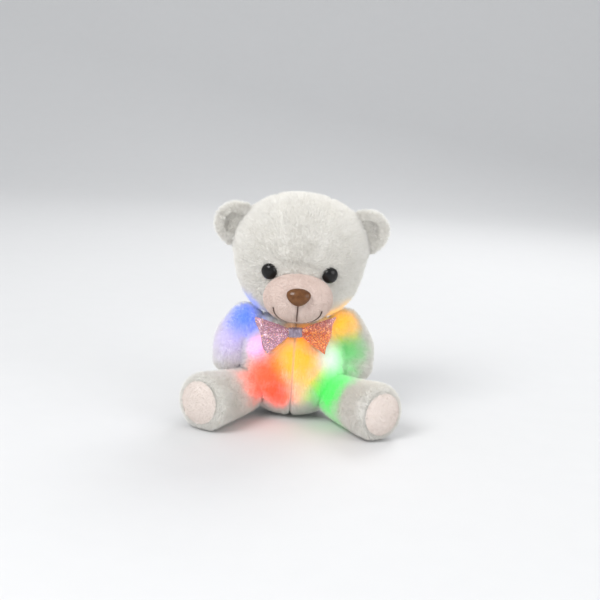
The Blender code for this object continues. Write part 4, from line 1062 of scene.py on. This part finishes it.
def make_eyes_and_nose():
    """Domed eyes and the nose, which sit on the pile's backing."""
    for name, side in SIDES:
        profile = [(0, -3.8), (5.6, -3.8), (6.7, -2.6), (6.8, -0.4)]
        for i in range(1, 19):
            angle = math.pi / 2 * i / 18
            profile.append((6.8 * math.cos(angle), 4.2 * math.sin(angle) - 0.4))
        profile = [(r * MM, h * MM) for r, h in profile]
        eye = turned(name + "_eye_dome", profile, on_front(HEAD, EYE_X * side, EYE_Z), 72)
        eye.data.materials.append(gloss_finish("eye_black", *EYE_BLACKS))
        smooth(eye, 60)
        place_piece(eye, "head", "eye", name + "_eye")
    bm = bmesh.new()
    bmesh.ops.create_uvsphere(bm, u_segments=72, v_segments=36, radius=1)
    bmesh.ops.rotate(bm, verts=bm.verts, matrix=Matrix.Rotation(math.pi / 2, 3, "X"))
    for vert in bm.verts:
        x, y, z = vert.co
        width = 9.6 * MM * (1 + 0.24 * y)
        depth = 4.6 * MM if z > 0 else 4.5 * MM
        vert.co = Vector((x * width, y * 7.2 * MM, MM + z * depth))
    nose = from_bmesh("nose_button", bm)
    nose.data.transform(on_front(MUZZLE, 0, NOSE_Z))
    cut(nose, egg("muzzle_face", MUZZLE, 2 * VELVET_NAP, 96, 60))
    nose.data.materials.clear()
    nose.data.materials.append(gloss_finish("nose_brown", *NOSE_BROWNS))
    smooth(all_outside(nose), 50)
    place_piece(nose, "head", "nose", "nose")


def make_arms():
    """The hanging arms, flattened where they rest on the body, with their pile."""
    room = body_form("body_room", -LIMB_CLEARANCE)
    for name, side in SIDES:
        path = smooth_path([mirrored(p, side) for p in (SHOULDER, ELBOW, HAND)], 4 * MM)
        radii = spread(ARM_RADII, len(path))
        arm = limb(name + "_arm_plush", path, radii, ARM_RADII[-1], NAP)
        cut(arm, room, keep_tools=True)
        soften(arm, [], 0.6 * MM, 51 + side)
        around = ["body_skin", "head_skin", f"{name}_leg_skin"]
        flow = lambda p: Vector((0, 0, -0.65))
        set_pile(arm, near_nodes(*around), [], flow)
        grow_plush(name + "_arm_pile", arm, name + "_arm", 61)
        replaced = [name + "_arm_skin", name + "_arm_stuffing"]
        finish_cloth(arm, backing_finish(), name + "_arm", "plush", replaced)
    return room


def make_legs(room):
    """The legs lying forward, and their sewn-in soles."""
    for name, side in SIDES:
        hip, foot, ahead = leg_axis(side)
        path = smooth_path([hip, (hip + foot) / 2, foot], 4 * MM)
        radii = spread(LEG_RADII, len(path))
        leg = limb(name + "_leg_plush", path, radii, SOLE_CROWN, NAP)
        raised = copy_of(room, "raised")
        lift = Matrix.Rotation(-LEG_LIFT, 4, ahead.cross(Vector((0, 0, 1))))
        raised.data.transform(Matrix.Translation(hip) @ lift @ Matrix.Translation(-hip))
        reach = FOOT_REACH * 2
        low = (foot.x - reach, foot.y - reach, -OVERRUN)
        floor = block("floor", low, (foot.x + reach, foot.y + reach, 0))
        cut(leg, room, keep_tools=True)
        cut(leg, raised, floor)
        sole = limb(name + "_sole_pad", path, radii, SOLE_CROWN, 2 * VELVET_NAP)
        cut(leg, past_sole(side, SOLE_SEAM_DEPTH))
        all_outside(keep_inside(sole, past_sole(side, SOLE_SEAM_DEPTH + SEAT_GAP)))
        seam_middle = foot + ahead * (SOLE_SEAM_DEPTH + SEAT_GAP / 2)
        sole_seam = lambda p: abs((p - seam_middle).dot(ahead))
        soften(leg, [(sole_seam, 1.0 * MM, 1.8 * MM)], 0.6 * MM, 71 + side)
        soften(sole, [(sole_seam, 0.9 * MM, 1.4 * MM)], 0.3 * MM, 81 + side)
        around = ["body_skin", f"{name}_arm_skin"]
        seams = [(sole_seam, 1.0 * MM, 0.4 * MM)]
        flow = lambda p: ahead * 0.35 + Vector((0, 0, -0.25))
        set_pile(leg, near_nodes(*around), seams, flow)
        body = name + "_leg"
        grow_plush(name + "_leg_pile", leg, body, 91)
        replaced = [name + "_leg_skin", name + "_leg_stuffing"]
        finish_cloth(leg, backing_finish(), body, "plush", replaced)
        set_pile(sole, [], [], lambda p: Vector((0, 0, -0.3)))
        grow_velvet(name + "_sole_pile", sole, body, sole_finish(), 1.0 * MM, 95)
        finish_cloth(sole, sole_finish(), body, "velvet", [name + "_sole"])
    bpy.data.objects.remove(room)


def simple_finish(name, dark, light, fine, dent=0.0, lit=None, **constants):
    """A finish whose colour is uneven between two tones, with a fine dented surface."""
    if name in bpy.data.materials:
        return bpy.data.materials[name]
    tree, shader = new_material(name, **constants)
    share, colour = mottled(tree, fine / 6, fine, dark, light)
    tree.links.new(colour, shader.inputs["Base Color"])
    if dent:
        dented(tree, shader, share, dent)
    if lit:
        shader.inputs["Emission Color"].default_value = (*lit, 1)
        shader.inputs["Emission Strength"].default_value = 1.0
    return bpy.data.materials[name]


def gloss_finish(name, dark, light):
    gloss = {"specular_ior_level": 0.15, "coat_weight": 0.4, "coat_roughness": 0.05}
    return simple_finish(name, dark, light, 300.0, 0.02 * MM, roughness=0.3, **gloss)


def fibre_finish():
    tones = ((0.72, 0.72, 0.71), (0.88, 0.88, 0.87))
    return simple_finish("loose_fibre", *tones, 900.0, 0.4 * MM, roughness=0.9)


def thread_finish(name, colour):
    light = tuple(c * 1.9 for c in colour)
    looks = {"roughness": 0.6, "sheen_weight": 0.2}
    return simple_finish(name, colour, light, 1400.0, 0.1 * MM, **looks)


def satin_finish():
    looks = {"roughness": 0.3, "metallic": 0.4}
    return simple_finish("bow_satin", *KNOT_LILACS, 500.0, 0.12 * MM, **looks)


@kept_as("tape_weave")
def tape_finish(name):
    tree, shader = new_material(name, roughness=0.75)
    colour = mottled(tree, 200.0, 1600.0, (0.66, 0.64, 0.60), (0.82, 0.80, 0.76))[1]
    tree.links.new(colour, shader.inputs["Base Color"])
    woven(tree, shader)


@kept_as("bow_glitter_mesh")
def ribbon_finish(name):
    """Open mesh with a metallic sparkle, lit from behind by the lamps at its wings. The lamps'
    orange at the bear's left wing is also painted into its base colour.
    """
    colours = bpy.context.scene.bear_colours
    tree, shader = new_material(name, roughness=0.35, emission_strength=1.0)
    place = object_place(tree)
    cells = {"Vector": place, "Scale": SPARKLE_SCALE}
    cells = add_node(tree, "ShaderNodeTexVoronoi", None, cells).outputs
    spark = add_node(tree, "ShaderNodeSeparateColor", None, {0: cells["Color"]}).outputs[0]
    across, height = axis_of(tree, place, "X"), axis_of(tree, place, "Z")
    # Painted backlight: the wing at the bear's left, less towards its top, takes the lamps'
    # orange in its base colour and in its flecks' tone
    side = ramp(tree, across, -4 * MM, 10 * MM, kind="SMOOTHSTEP")
    top = ramp(tree, height, BOW_Z - 1 * MM, BOW_Z + 16 * MM, 1.0, 0.25, "SMOOTHSTEP")
    side = maths(tree, "MULTIPLY", side, top)
    hue_and_backlight = mix_colours(tree, side, colours.bow_left, colours.bow_backlit)
    bright = mix_colours(tree, side, (0.95, 0.70, 0.80), (1.0, 0.62, 0.20))
    fleck = ramp(tree, spark, 0.55, 0.95)
    tree.links.new(mix_colours(tree, fleck, hue_and_backlight, bright), shader.inputs["Base Color"])
    tree.links.new(fleck, shader.inputs["Metallic"])
    lit = mix_colours(tree, side, (0.10, 0.01, 0.04), (0.55, 0.10, 0.01))
    dim = mix_colours(tree, side, (0.0, 0.0, 0.0), (0.22, 0.02, 0.0))
    tree.links.new(mix_colours(tree, fleck, dim, lit), shader.inputs["Emission Color"])
    dented(tree, shader, cells["Distance"], 0.3 * MM)


def bow_place():
    """The middle of the bow, read from where the knot's solid sits."""
    low, high = (Vector(c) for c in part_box("bow_knot"))
    turn = Matrix.Rotation(-BOW_LEAN, 4, "X") @ Matrix.Rotation(-BOW_TURN, 4, "Y")
    return Matrix.Translation((low + high) / 2) @ turn


def unit_sleeve(sides, rows):
    """An open sleeve round the Z axis, of radius 1, from -1 to 1."""
    bm = bmesh.new()
    bmesh.ops.create_circle(bm, segments=sides, radius=1)
    bmesh.ops.translate(bm, verts=bm.verts, vec=(0, 0, -1))
    edges = list(bm.edges)
    for _ in range(rows):
        grown = bmesh.ops.extrude_edge_only(bm, edges=edges)["geom"]
        verts = [item for item in grown if isinstance(item, bmesh.types.BMVert)]
        edges = [item for item in grown if isinstance(item, bmesh.types.BMEdge)]
        bmesh.ops.translate(bm, verts=verts, vec=(0, 0, 2 / rows))
    return bm


def finish_ribbon(name, bm, thickness, offset, finish):
    """Gives a sleeve of the bow its thickness, its place and its finish."""
    bmesh.ops.recalc_face_normals(bm, faces=bm.faces)
    ribbon = from_bmesh(name, bm)
    wall = ribbon.modifiers.new("wall", "SOLIDIFY")
    wall.thickness = thickness
    wall.offset = offset
    apply_modifiers(ribbon)
    ribbon.data.transform(bow_place())
    ribbon.data.materials.append(finish)
    smooth(ribbon, 60)
    return ribbon


def make_bow():
    """A pleated ribbon loop with glitter, and the band that draws it together."""
    half_width, waist, end_height, waist_height = BOW_SIZES
    bm = unit_sleeve(112, 28)
    for vert in bm.verts:
        x, y, z = vert.co
        along = abs(x) ** 1.25
        share = max(0, half_width * along - waist) / (half_width - waist)
        height = waist_height + (end_height - waist_height) * share**0.85
        depth = 1.3 * MM + 2.9 * MM * math.sin(math.pi / 2 * share)
        depth *= min(1, abs(y) * 2.2)
        fan = z * 7 + 0.8 * math.sin(z * 3 + math.copysign(1, x))
        pleat = math.sin(fan) * (0.35 + 1.15 * share * (1 - 0.45 * share)) * 0.62 * MM
        low_share = share * (1 - z) / 2
        reach = half_width * along - 9 * MM * low_share
        reach += 0.7 * MM * share * math.sin(z * 5 + math.copysign(2, x))
        droop = 5 * MM * low_share
        sag = 0.8 * MM * share * math.sin(reach * 160)
        depth = math.copysign(depth, y) + pleat + sag
        vert.co = (math.copysign(reach, x), depth, z * height - droop)
    ribbon = finish_ribbon("bow_loop", bm, 0.5 * MM, 0, ribbon_finish())
    place_piece(ribbon, "body", "bow_mesh", "bow_ribbon")
    make_flakes(ribbon)
    make_knot()


def make_flakes(ribbon):
    """Small loose-lying flakes that give the ribbon its glitter."""
    set_pile(ribbon, near_nodes("bow_knot"), [], lambda p: Vector((0, 0, 0)), 0)
    looks = {"roughness": 0.18, "metallic": 1.0}
    sizes = {"length": 0.22 * MM, "density": 0.55, "width": 0.36 * MM}
    for seed, (part, colour) in enumerate(GLITTER.items(), 5):
        dark = tuple(c * 0.7 for c in colour)
        finish = simple_finish("glitter_" + part, dark, colour, 500.0, **looks)
        flakes = grow("bow_flakes_" + part, ribbon, "body", finish, seed=seed, **sizes)
    drop_pile(ribbon)


def make_knot():
    """A gathered band of satin round the ribbon's waist."""
    half_height, half_depth, half_width = KNOT_HALF
    bm = unit_sleeve(72, 30)
    bmesh.ops.rotate(bm, verts=bm.verts, matrix=Matrix.Rotation(math.pi / 2, 3, "Y"))
    for vert in bm.verts:
        x, y, z = vert.co
        square = (abs(y) ** 4 + abs(z) ** 4) ** (-1 / 4)
        bulge = 1 - 0.1 * x * x + 0.05 * math.sin(x * 14 + 1.5 * math.sin(z * 3))
        vert.co = (
            x * half_width * (0.92 + 0.08 * z * z),
            y * square * half_depth * bulge,
            z * square * half_height * (bulge + 0.04),
        )
    knot = finish_ribbon("bow_band", bm, 0.8 * MM, -1, satin_finish())
    place_piece(knot, "body", "bow_knot", "bow_knot")


def back_strip(name, outside, thickness, half_width, low_z, high_z):
    """A strip of the body's back between two depths under its surface."""
    layer = egg(name, BODY, outside)
    low = (-half_width, BODY.centre.y, low_z)
    high = (half_width, BODY.centre.y + BODY.half_depth + OVERRUN, high_z)
    keep_inside(layer, block("strip", low, high))
    return cut(all_outside(layer), egg("core", BODY, outside + thickness))


def make_flap():
    """The plush flap over the battery box, its hook and loop tape and the cloth behind."""
    high = FLAP_HIGH - SEAT_GAP
    flap = back_strip("flap_plush", NAP, PLUSH - NAP, FLAP_HALF_WIDTH, FLAP_LOW, high)
    set_pile(flap, [], [], lambda p: Vector((0, 0, -0.65)))
    for polygon in flap.data.polygons:
        out = (polygon.center - BODY.centre).normalized()
        if polygon.normal.dot(out) < FACES_OUT:
            polygon.material_index = 1
    fold = ("body", "flap", (0, 0, FLAP_HIGH), (0, 0, FLAP_HIGH - FLAP_FOLD))
    grow_plush("flap_pile", flap, fold, 101)
    finish_cloth(flap, backing_finish(), fold, "plush", ["back_flap"])
    depth = PLUSH + SEAT_GAP
    for name, node, body, slot, thick, half, low, high in BACK_STRIPS:
        strip = back_strip(name, depth, thick, half, low, high)
        finish_cloth(strip, tape_finish(), body, slot, [node])
        if node == "hook_tape":
            set_pile(strip, [], [], lambda p: Vector((0, 0, 0)))
            for polygon in strip.data.polygons:
                out = (polygon.center - BODY.centre).normalized()
                polygon.material_index = 0 if polygon.normal.dot(out) < -FACES_OUT else 1
            sizes = (0.28 * MM, 5.0, 0.0, 111, 0.07 * MM)
            hooks = grow("hook_strip_hooks", strip, body, tape_finish(), *sizes)
            drop_pile(strip)
        depth += thick + SEAT_GAP


def make_neck_seam():
    """The stitches that sew the head to the neck, laid round in a ring."""
    radius = 16.3 * MM
    low, high = (Vector(c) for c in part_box("neck_seam"))
    height = (low.z + high.z) / 2
    stitches = []
    count = 30
    radii = [share * MM for share in (0.45, 0.6, 0.65, 0.65, 0.6, 0.45)]
    for i in range(count):
        points = []
        for k in range(6):
            angle = 2 * math.pi * (i + 0.08 + 0.84 * k / 5) / count
            z = height + 0.25 * MM * math.sin(math.pi * k / 5)
            points.append(Vector((radius * math.cos(angle), radius * math.sin(angle), z)))
        stitches.append(tube("stitch", points, radii, 8))
    ring = sewn("neck_stitches", stitches, thread_finish("neck_thread", (0.45, 0.43, 0.40)))
    place_piece(ring, "neck", "thread", "neck_seam")


# name, darker and lighter tone, fineness, depth of its dents in mm, roughness, metallic
HARD_FINISHES = (
    ("box_plastic", (0.055, 0.055, 0.06), (0.085, 0.085, 0.09), 900.0, 0.03, 0.45, 0),
    ("switch_plastic", (0.012, 0.012, 0.012), (0.03, 0.03, 0.03), 900.0, 0.02, 0.4, 0),
    ("plated_steel", (0.55, 0.55, 0.57), (0.78, 0.78, 0.80), 600.0, 0.01, 0.28, 1),
    ("board_green", (0.008, 0.10, 0.03), (0.02, 0.18, 0.06), 700.0, 0.03, 0.4, 0),
    ("button_red", (0.45, 0.02, 0.02), (0.60, 0.05, 0.05), 500.0, 0.01, 0.3, 0),
    ("washer_plastic", (0.75, 0.75, 0.73), (0.86, 0.86, 0.84), 500.0, 0.02, 0.5, 0),
    ("cable_sleeve", (0.50, 0.49, 0.46), (0.68, 0.67, 0.64), 700.0, 0.02, 0.35, 0),
)
WEARERS = {
    "box_plastic": ("battery_box", "battery_cover"),
    "switch_plastic": ("switch_body",),
    "plated_steel": ("cover_screw", "battery_spring", "battery_plate", *CELLS),
    "board_green": ("circuit_board",),
    "button_red": ("push_button",),
    "washer_plastic": ("left_eye_washer", "right_eye_washer", "nose_washer"),
    "cable_sleeve": ("lamp_cable",),
}
LAMPS = {
    "yellow": (1.0, 0.75, 0.1),
    "blue": (0.15, 0.3, 1.0),
    "pink": (1.0, 0.3, 0.6),
    "orange": (1.0, 0.45, 0.05),
    "white": (0.9, 1.0, 1.0),
    "green": (0.15, 1.0, 0.3),
    "red": (1.0, 0.12, 0.08),
}


def make_power():
    """Finishes for the hard pieces inside, which keep the frame's own shapes."""
    wears = {}
    for name, dark, light, fine, dent, roughness, metallic in HARD_FINISHES:
        looks = {"roughness": roughness, "metallic": metallic}
        finish = simple_finish(name, dark, light, fine, dent * MM, **looks)
        wears.update({node: finish for node in WEARERS[name]})
    glass = {"roughness": 0.2, "coat_weight": 0.5}
    for name, tint in LAMPS.items():
        dim = tuple(c * 0.8 for c in tint)
        finish = simple_finish("lamp_" + name, dim, tint, 400.0, 0.01 * MM, lit=tint, **glass)
        wears[name + "_lamp"] = finish
    for name, finish in wears.items():
        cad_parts[name].material_slots[0].material = finish


def make_floor():
    """A plain pale floor that curves up behind, kept out of the object."""
    stage = bpy.context.scene.bear_stage
    bm = bmesh.new()
    bmesh.ops.create_grid(bm, x_segments=1, y_segments=1, size=3)
    back = [edge for edge in bm.edges if all(vert.co.y > 0 for vert in edge.verts)]
    grown = bmesh.ops.extrude_edge_only(bm, edges=back)["geom"]
    verts = [item for item in grown if isinstance(item, bmesh.types.BMVert)]
    bmesh.ops.translate(bm, verts=verts, vec=(0, 0, 4))
    corner = [edge for edge in bm.edges if edge in back]
    curve = {"offset": 1.5, "segments": 16, "profile": 0.5, "affect": "EDGES", "material": -1}
    bmesh.ops.bevel(bm, geom=corner, **curve)
    bmesh.ops.recalc_face_normals(bm, faces=bm.faces)
    floor = from_bmesh("floor", bm)
    floor.data.shade_smooth()
    tree, shader = new_material("floor_paper", roughness=0.9)
    shade = tuple(c * 0.985 for c in stage.floor[:3])
    paper = mottled(tree, 4.0, 40.0, shade, stage.floor)[1]
    tree.links.new(paper, shader.inputs["Base Color"])
    floor.data.materials.append(bpy.data.materials["floor_paper"])


def make_lights():
    """Soft, plain light at a level where colours render about as they are written."""
    stage = bpy.context.scene.bear_stage
    world = bpy.data.worlds.new("studio")
    bpy.context.scene.world = world
    world.use_nodes = True
    background = world.node_tree.nodes["Background"]
    background.inputs["Color"].default_value = (0.95, 0.97, 1.0, 1)
    background.inputs["Strength"].default_value = stage.sky
    for name, place, size, share in (
        ("key", (-0.9, -1.1, 1.3), 0.9, 1.0),
        ("fill", (1.2, -0.8, 0.6), 1.0, 0.3),
        ("rim", (0.5, 1.1, 1.2), 0.8, 0.5),
    ):
        light = bpy.data.lights.new(name, "AREA")
        light.shape = "DISK"
        light.size = size
        light.energy = stage.key * share
        lamp = add_object(name, light)
        aim = Vector((0, 0, 0.1)) - Vector(place)
        lamp.location = place
        lamp.rotation_euler = aim.to_track_quat("-Z", "Y").to_euler()


def make_camera():
    """The photograph's view: straight ahead, a little from above, with a small lean."""
    stage = bpy.context.scene.bear_stage
    data = bpy.data.cameras.new("camera")
    camera = add_object("camera", data)
    target = Vector((0.0026, 0, 0.102))
    turn = stage.azimuth
    back = Vector((math.sin(turn), -math.cos(turn), 0)) * math.cos(stage.elevation)
    back.z = math.sin(stage.elevation)
    camera.location = target + back * stage.distance
    view = (-back).to_track_quat("-Z", "Y").to_matrix().to_4x4()
    view = view @ Matrix.Rotation(stage.lean, 4, "Z")
    camera.rotation_euler = view.to_euler()
    data.sensor_width = 36.0
    data.lens = stage.lens
    data.clip_start = 0.05
    scene = bpy.context.scene
    scene.camera = camera
    scene.view_settings.view_transform = "Standard"


def colour_property(name, description, default):
    return bpy.props.FloatVectorProperty(
        name=name, description=description, default=default, subtype="COLOR", size=3, min=0, max=1
    )


class BearPile(bpy.types.PropertyGroup):
    """How the pile of the plush stands."""

    length: bpy.props.FloatProperty(
        name="Length", description="Full length of the tufts", default=3.7 * MM, unit="LENGTH"
    )
    width: bpy.props.FloatProperty(
        name="Width", description="Radius of a tuft at its root", default=0.2 * MM, unit="LENGTH"
    )
    density: bpy.props.FloatProperty(
        name="Density", description="Tufts on a square millimetre", default=3.4, min=0.1, max=9
    )
    clumping: bpy.props.FloatProperty(
        name="Clumping", description="How far neighbouring tufts lean together", default=0.3
    )
    seam_depth: bpy.props.FloatProperty(
        name="Seam depth", description="How far a seam sinks in", default=1.8 * MM, unit="LENGTH"
    )


class BearColours(bpy.types.PropertyGroup):
    """Colours of the cloths and the strength of the glow."""

    plush: colour_property("Plush", "Lit side of the ivory pile", (0.95, 0.935, 0.90))
    plush_shade: colour_property("Plush shade", "Deeper tone of the pile", (0.88, 0.86, 0.81))
    velvet: colour_property("Velvet", "Muzzle and soles", (0.84, 0.72, 0.66))
    velvet_shade: colour_property("Velvet shade", "Deeper tone of both", (0.75, 0.62, 0.56))
    bow_left: colour_property("Bow, right side", "Wing at the bear's right", (0.42, 0.20, 0.30))
    # Painted orange backlight from the lamps behind the bow's wing at the bear's left
    bow_backlit: colour_property("Bow, left side", "Wing at the bear's left", (0.55, 0.12, 0.05))
    glow: bpy.props.FloatProperty(
        name="Glow", description="How brightly the cloth is lit", default=0.55, min=0, max=5
    )


class BearStage(bpy.types.PropertyGroup):
    """The camera, the light and the floor."""

    azimuth: bpy.props.FloatProperty(
        name="Azimuth",
        description="Camera's turn round the bear",
        default=math.radians(-1),
        subtype="ANGLE",
    )
    elevation: bpy.props.FloatProperty(
        name="Elevation",
        description="Camera's height angle",
        default=math.radians(12),
        subtype="ANGLE",
    )
    lean: bpy.props.FloatProperty(
        name="Lean",
        description="Camera's turn about its own axis",
        default=math.radians(4),
        subtype="ANGLE",
    )
    distance: bpy.props.FloatProperty(
        name="Distance", description="Camera to the bear", default=0.9, unit="LENGTH"
    )
    lens: bpy.props.FloatProperty(
        name="Lens", description="Focal length in millimetres", default=61.7, min=10, max=300
    )
    floor: colour_property("Floor", "Colour of the floor and backdrop", (0.74, 0.74, 0.74))
    sky: bpy.props.FloatProperty(
        name="Sky", description="Strength of the even light", default=0.66, min=0, max=5
    )
    key: bpy.props.FloatProperty(
        name="Key", description="Power of the main lamp in watts", default=19.0, min=0, max=1000
    )


class BEAR_OT_body(bpy.types.Operator):
    """Build the body's skin and pile"""

    bl_idname = "bear.body"
    bl_label = "Body"

    def execute(self, context):
        make_body()
        return {"FINISHED"}


class BEAR_OT_stuffing(bpy.types.Operator):
    """Build the fibre filling with the pocket for the battery box"""

    bl_idname = "bear.stuffing"
    bl_label = "Stuffing"

    def execute(self, context):
        make_stuffing()
        return {"FINISHED"}


class BEAR_OT_head(bpy.types.Operator):
    """Build the head's form and pile"""

    bl_idname = "bear.head"
    bl_label = "Head"

    def execute(self, context):
        make_head()
        return {"FINISHED"}


class BEAR_OT_ears(bpy.types.Operator):
    """Build both ears"""

    bl_idname = "bear.ears"
    bl_label = "Ears"

    def execute(self, context):
        make_ears()
        return {"FINISHED"}


class BEAR_OT_muzzle(bpy.types.Operator):
    """Build the muzzle and its stitched mouth"""

    bl_idname = "bear.muzzle"
    bl_label = "Muzzle"

    def execute(self, context):
        make_muzzle()
        return {"FINISHED"}


class BEAR_OT_face(bpy.types.Operator):
    """Build the eyes and the nose"""

    bl_idname = "bear.face"
    bl_label = "Eyes and nose"

    def execute(self, context):
        make_eyes_and_nose()
        return {"FINISHED"}


class BEAR_OT_limbs(bpy.types.Operator):
    """Build the arms, the legs and the soles"""

    bl_idname = "bear.limbs"
    bl_label = "Arms and legs"

    def execute(self, context):
        make_legs(make_arms())
        return {"FINISHED"}


class BEAR_OT_bow(bpy.types.Operator):
    """Build the bow, its glitter and its band"""

    bl_idname = "bear.bow"
    bl_label = "Bow"

    def execute(self, context):
        make_bow()
        return {"FINISHED"}


class BEAR_OT_flap(bpy.types.Operator):
    """Build the back flap, its tapes and the cloth behind them"""

    bl_idname = "bear.flap"
    bl_label = "Back flap"

    def execute(self, context):
        make_flap()
        return {"FINISHED"}


class BEAR_OT_neck(bpy.types.Operator):
    """Build the ring of stitches at the neck"""

    bl_idname = "bear.neck"
    bl_label = "Neck seam"

    def execute(self, context):
        make_neck_seam()
        return {"FINISHED"}


class BEAR_OT_power(bpy.types.Operator):
    """Finish the battery box, the board, the cable and the lamps"""

    bl_idname = "bear.power"
    bl_label = "Power and lamps"

    def execute(self, context):
        make_power()
        return {"FINISHED"}


class BEAR_OT_stage(bpy.types.Operator):
    """Build the floor, the light and the camera"""

    bl_idname = "bear.stage"
    bl_label = "Stage"

    def execute(self, context):
        make_floor()
        make_lights()
        make_camera()
        return {"FINISHED"}


OPERATORS = (
    BEAR_OT_stage,
    BEAR_OT_body,
    BEAR_OT_stuffing,
    BEAR_OT_head,
    BEAR_OT_ears,
    BEAR_OT_muzzle,
    BEAR_OT_face,
    BEAR_OT_limbs,
    BEAR_OT_bow,
    BEAR_OT_flap,
    BEAR_OT_neck,
    BEAR_OT_power,
)


class BEAR_PT_sidebar(bpy.types.Panel):
    """The bear's settings and the steps that build it"""

    bl_label = "Teddy Bear"
    bl_idname = "BEAR_PT_sidebar"
    bl_space_type = "VIEW_3D"
    bl_region_type = "UI"
    bl_category = "Teddy Bear"

    def draw(self, context):
        scene = context.scene
        for group in (scene.bear_pile, scene.bear_colours, scene.bear_stage):
            box = self.layout.box()
            for key in group.__annotations__:
                box.prop(group, key)
        for operator in OPERATORS:
            self.layout.operator(operator.bl_idname)


GROUPS = {"bear_pile": BearPile, "bear_colours": BearColours, "bear_stage": BearStage}


def register():
    for name, group in GROUPS.items():
        bpy.utils.register_class(group)
        setattr(bpy.types.Scene, name, bpy.props.PointerProperty(type=group))
    for operator in OPERATORS:
        bpy.utils.register_class(operator)
    bpy.utils.register_class(BEAR_PT_sidebar)


def unregister():
    bpy.utils.unregister_class(BEAR_PT_sidebar)
    for operator in reversed(OPERATORS):
        bpy.utils.unregister_class(operator)
    for name, group in reversed(GROUPS.items()):
        delattr(bpy.types.Scene, name)
        bpy.utils.unregister_class(group)


def main():
    register()
    bpy.ops.bear.stage()
    bpy.ops.bear.body()
    bpy.ops.bear.stuffing()
    bpy.ops.bear.head()
    bpy.ops.bear.ears()
    bpy.ops.bear.muzzle()
    bpy.ops.bear.face()
    bpy.ops.bear.limbs()
    bpy.ops.bear.bow()
    bpy.ops.bear.flap()
    bpy.ops.bear.neck()
    bpy.ops.bear.power()


if __name__ == "__main__":
    main()
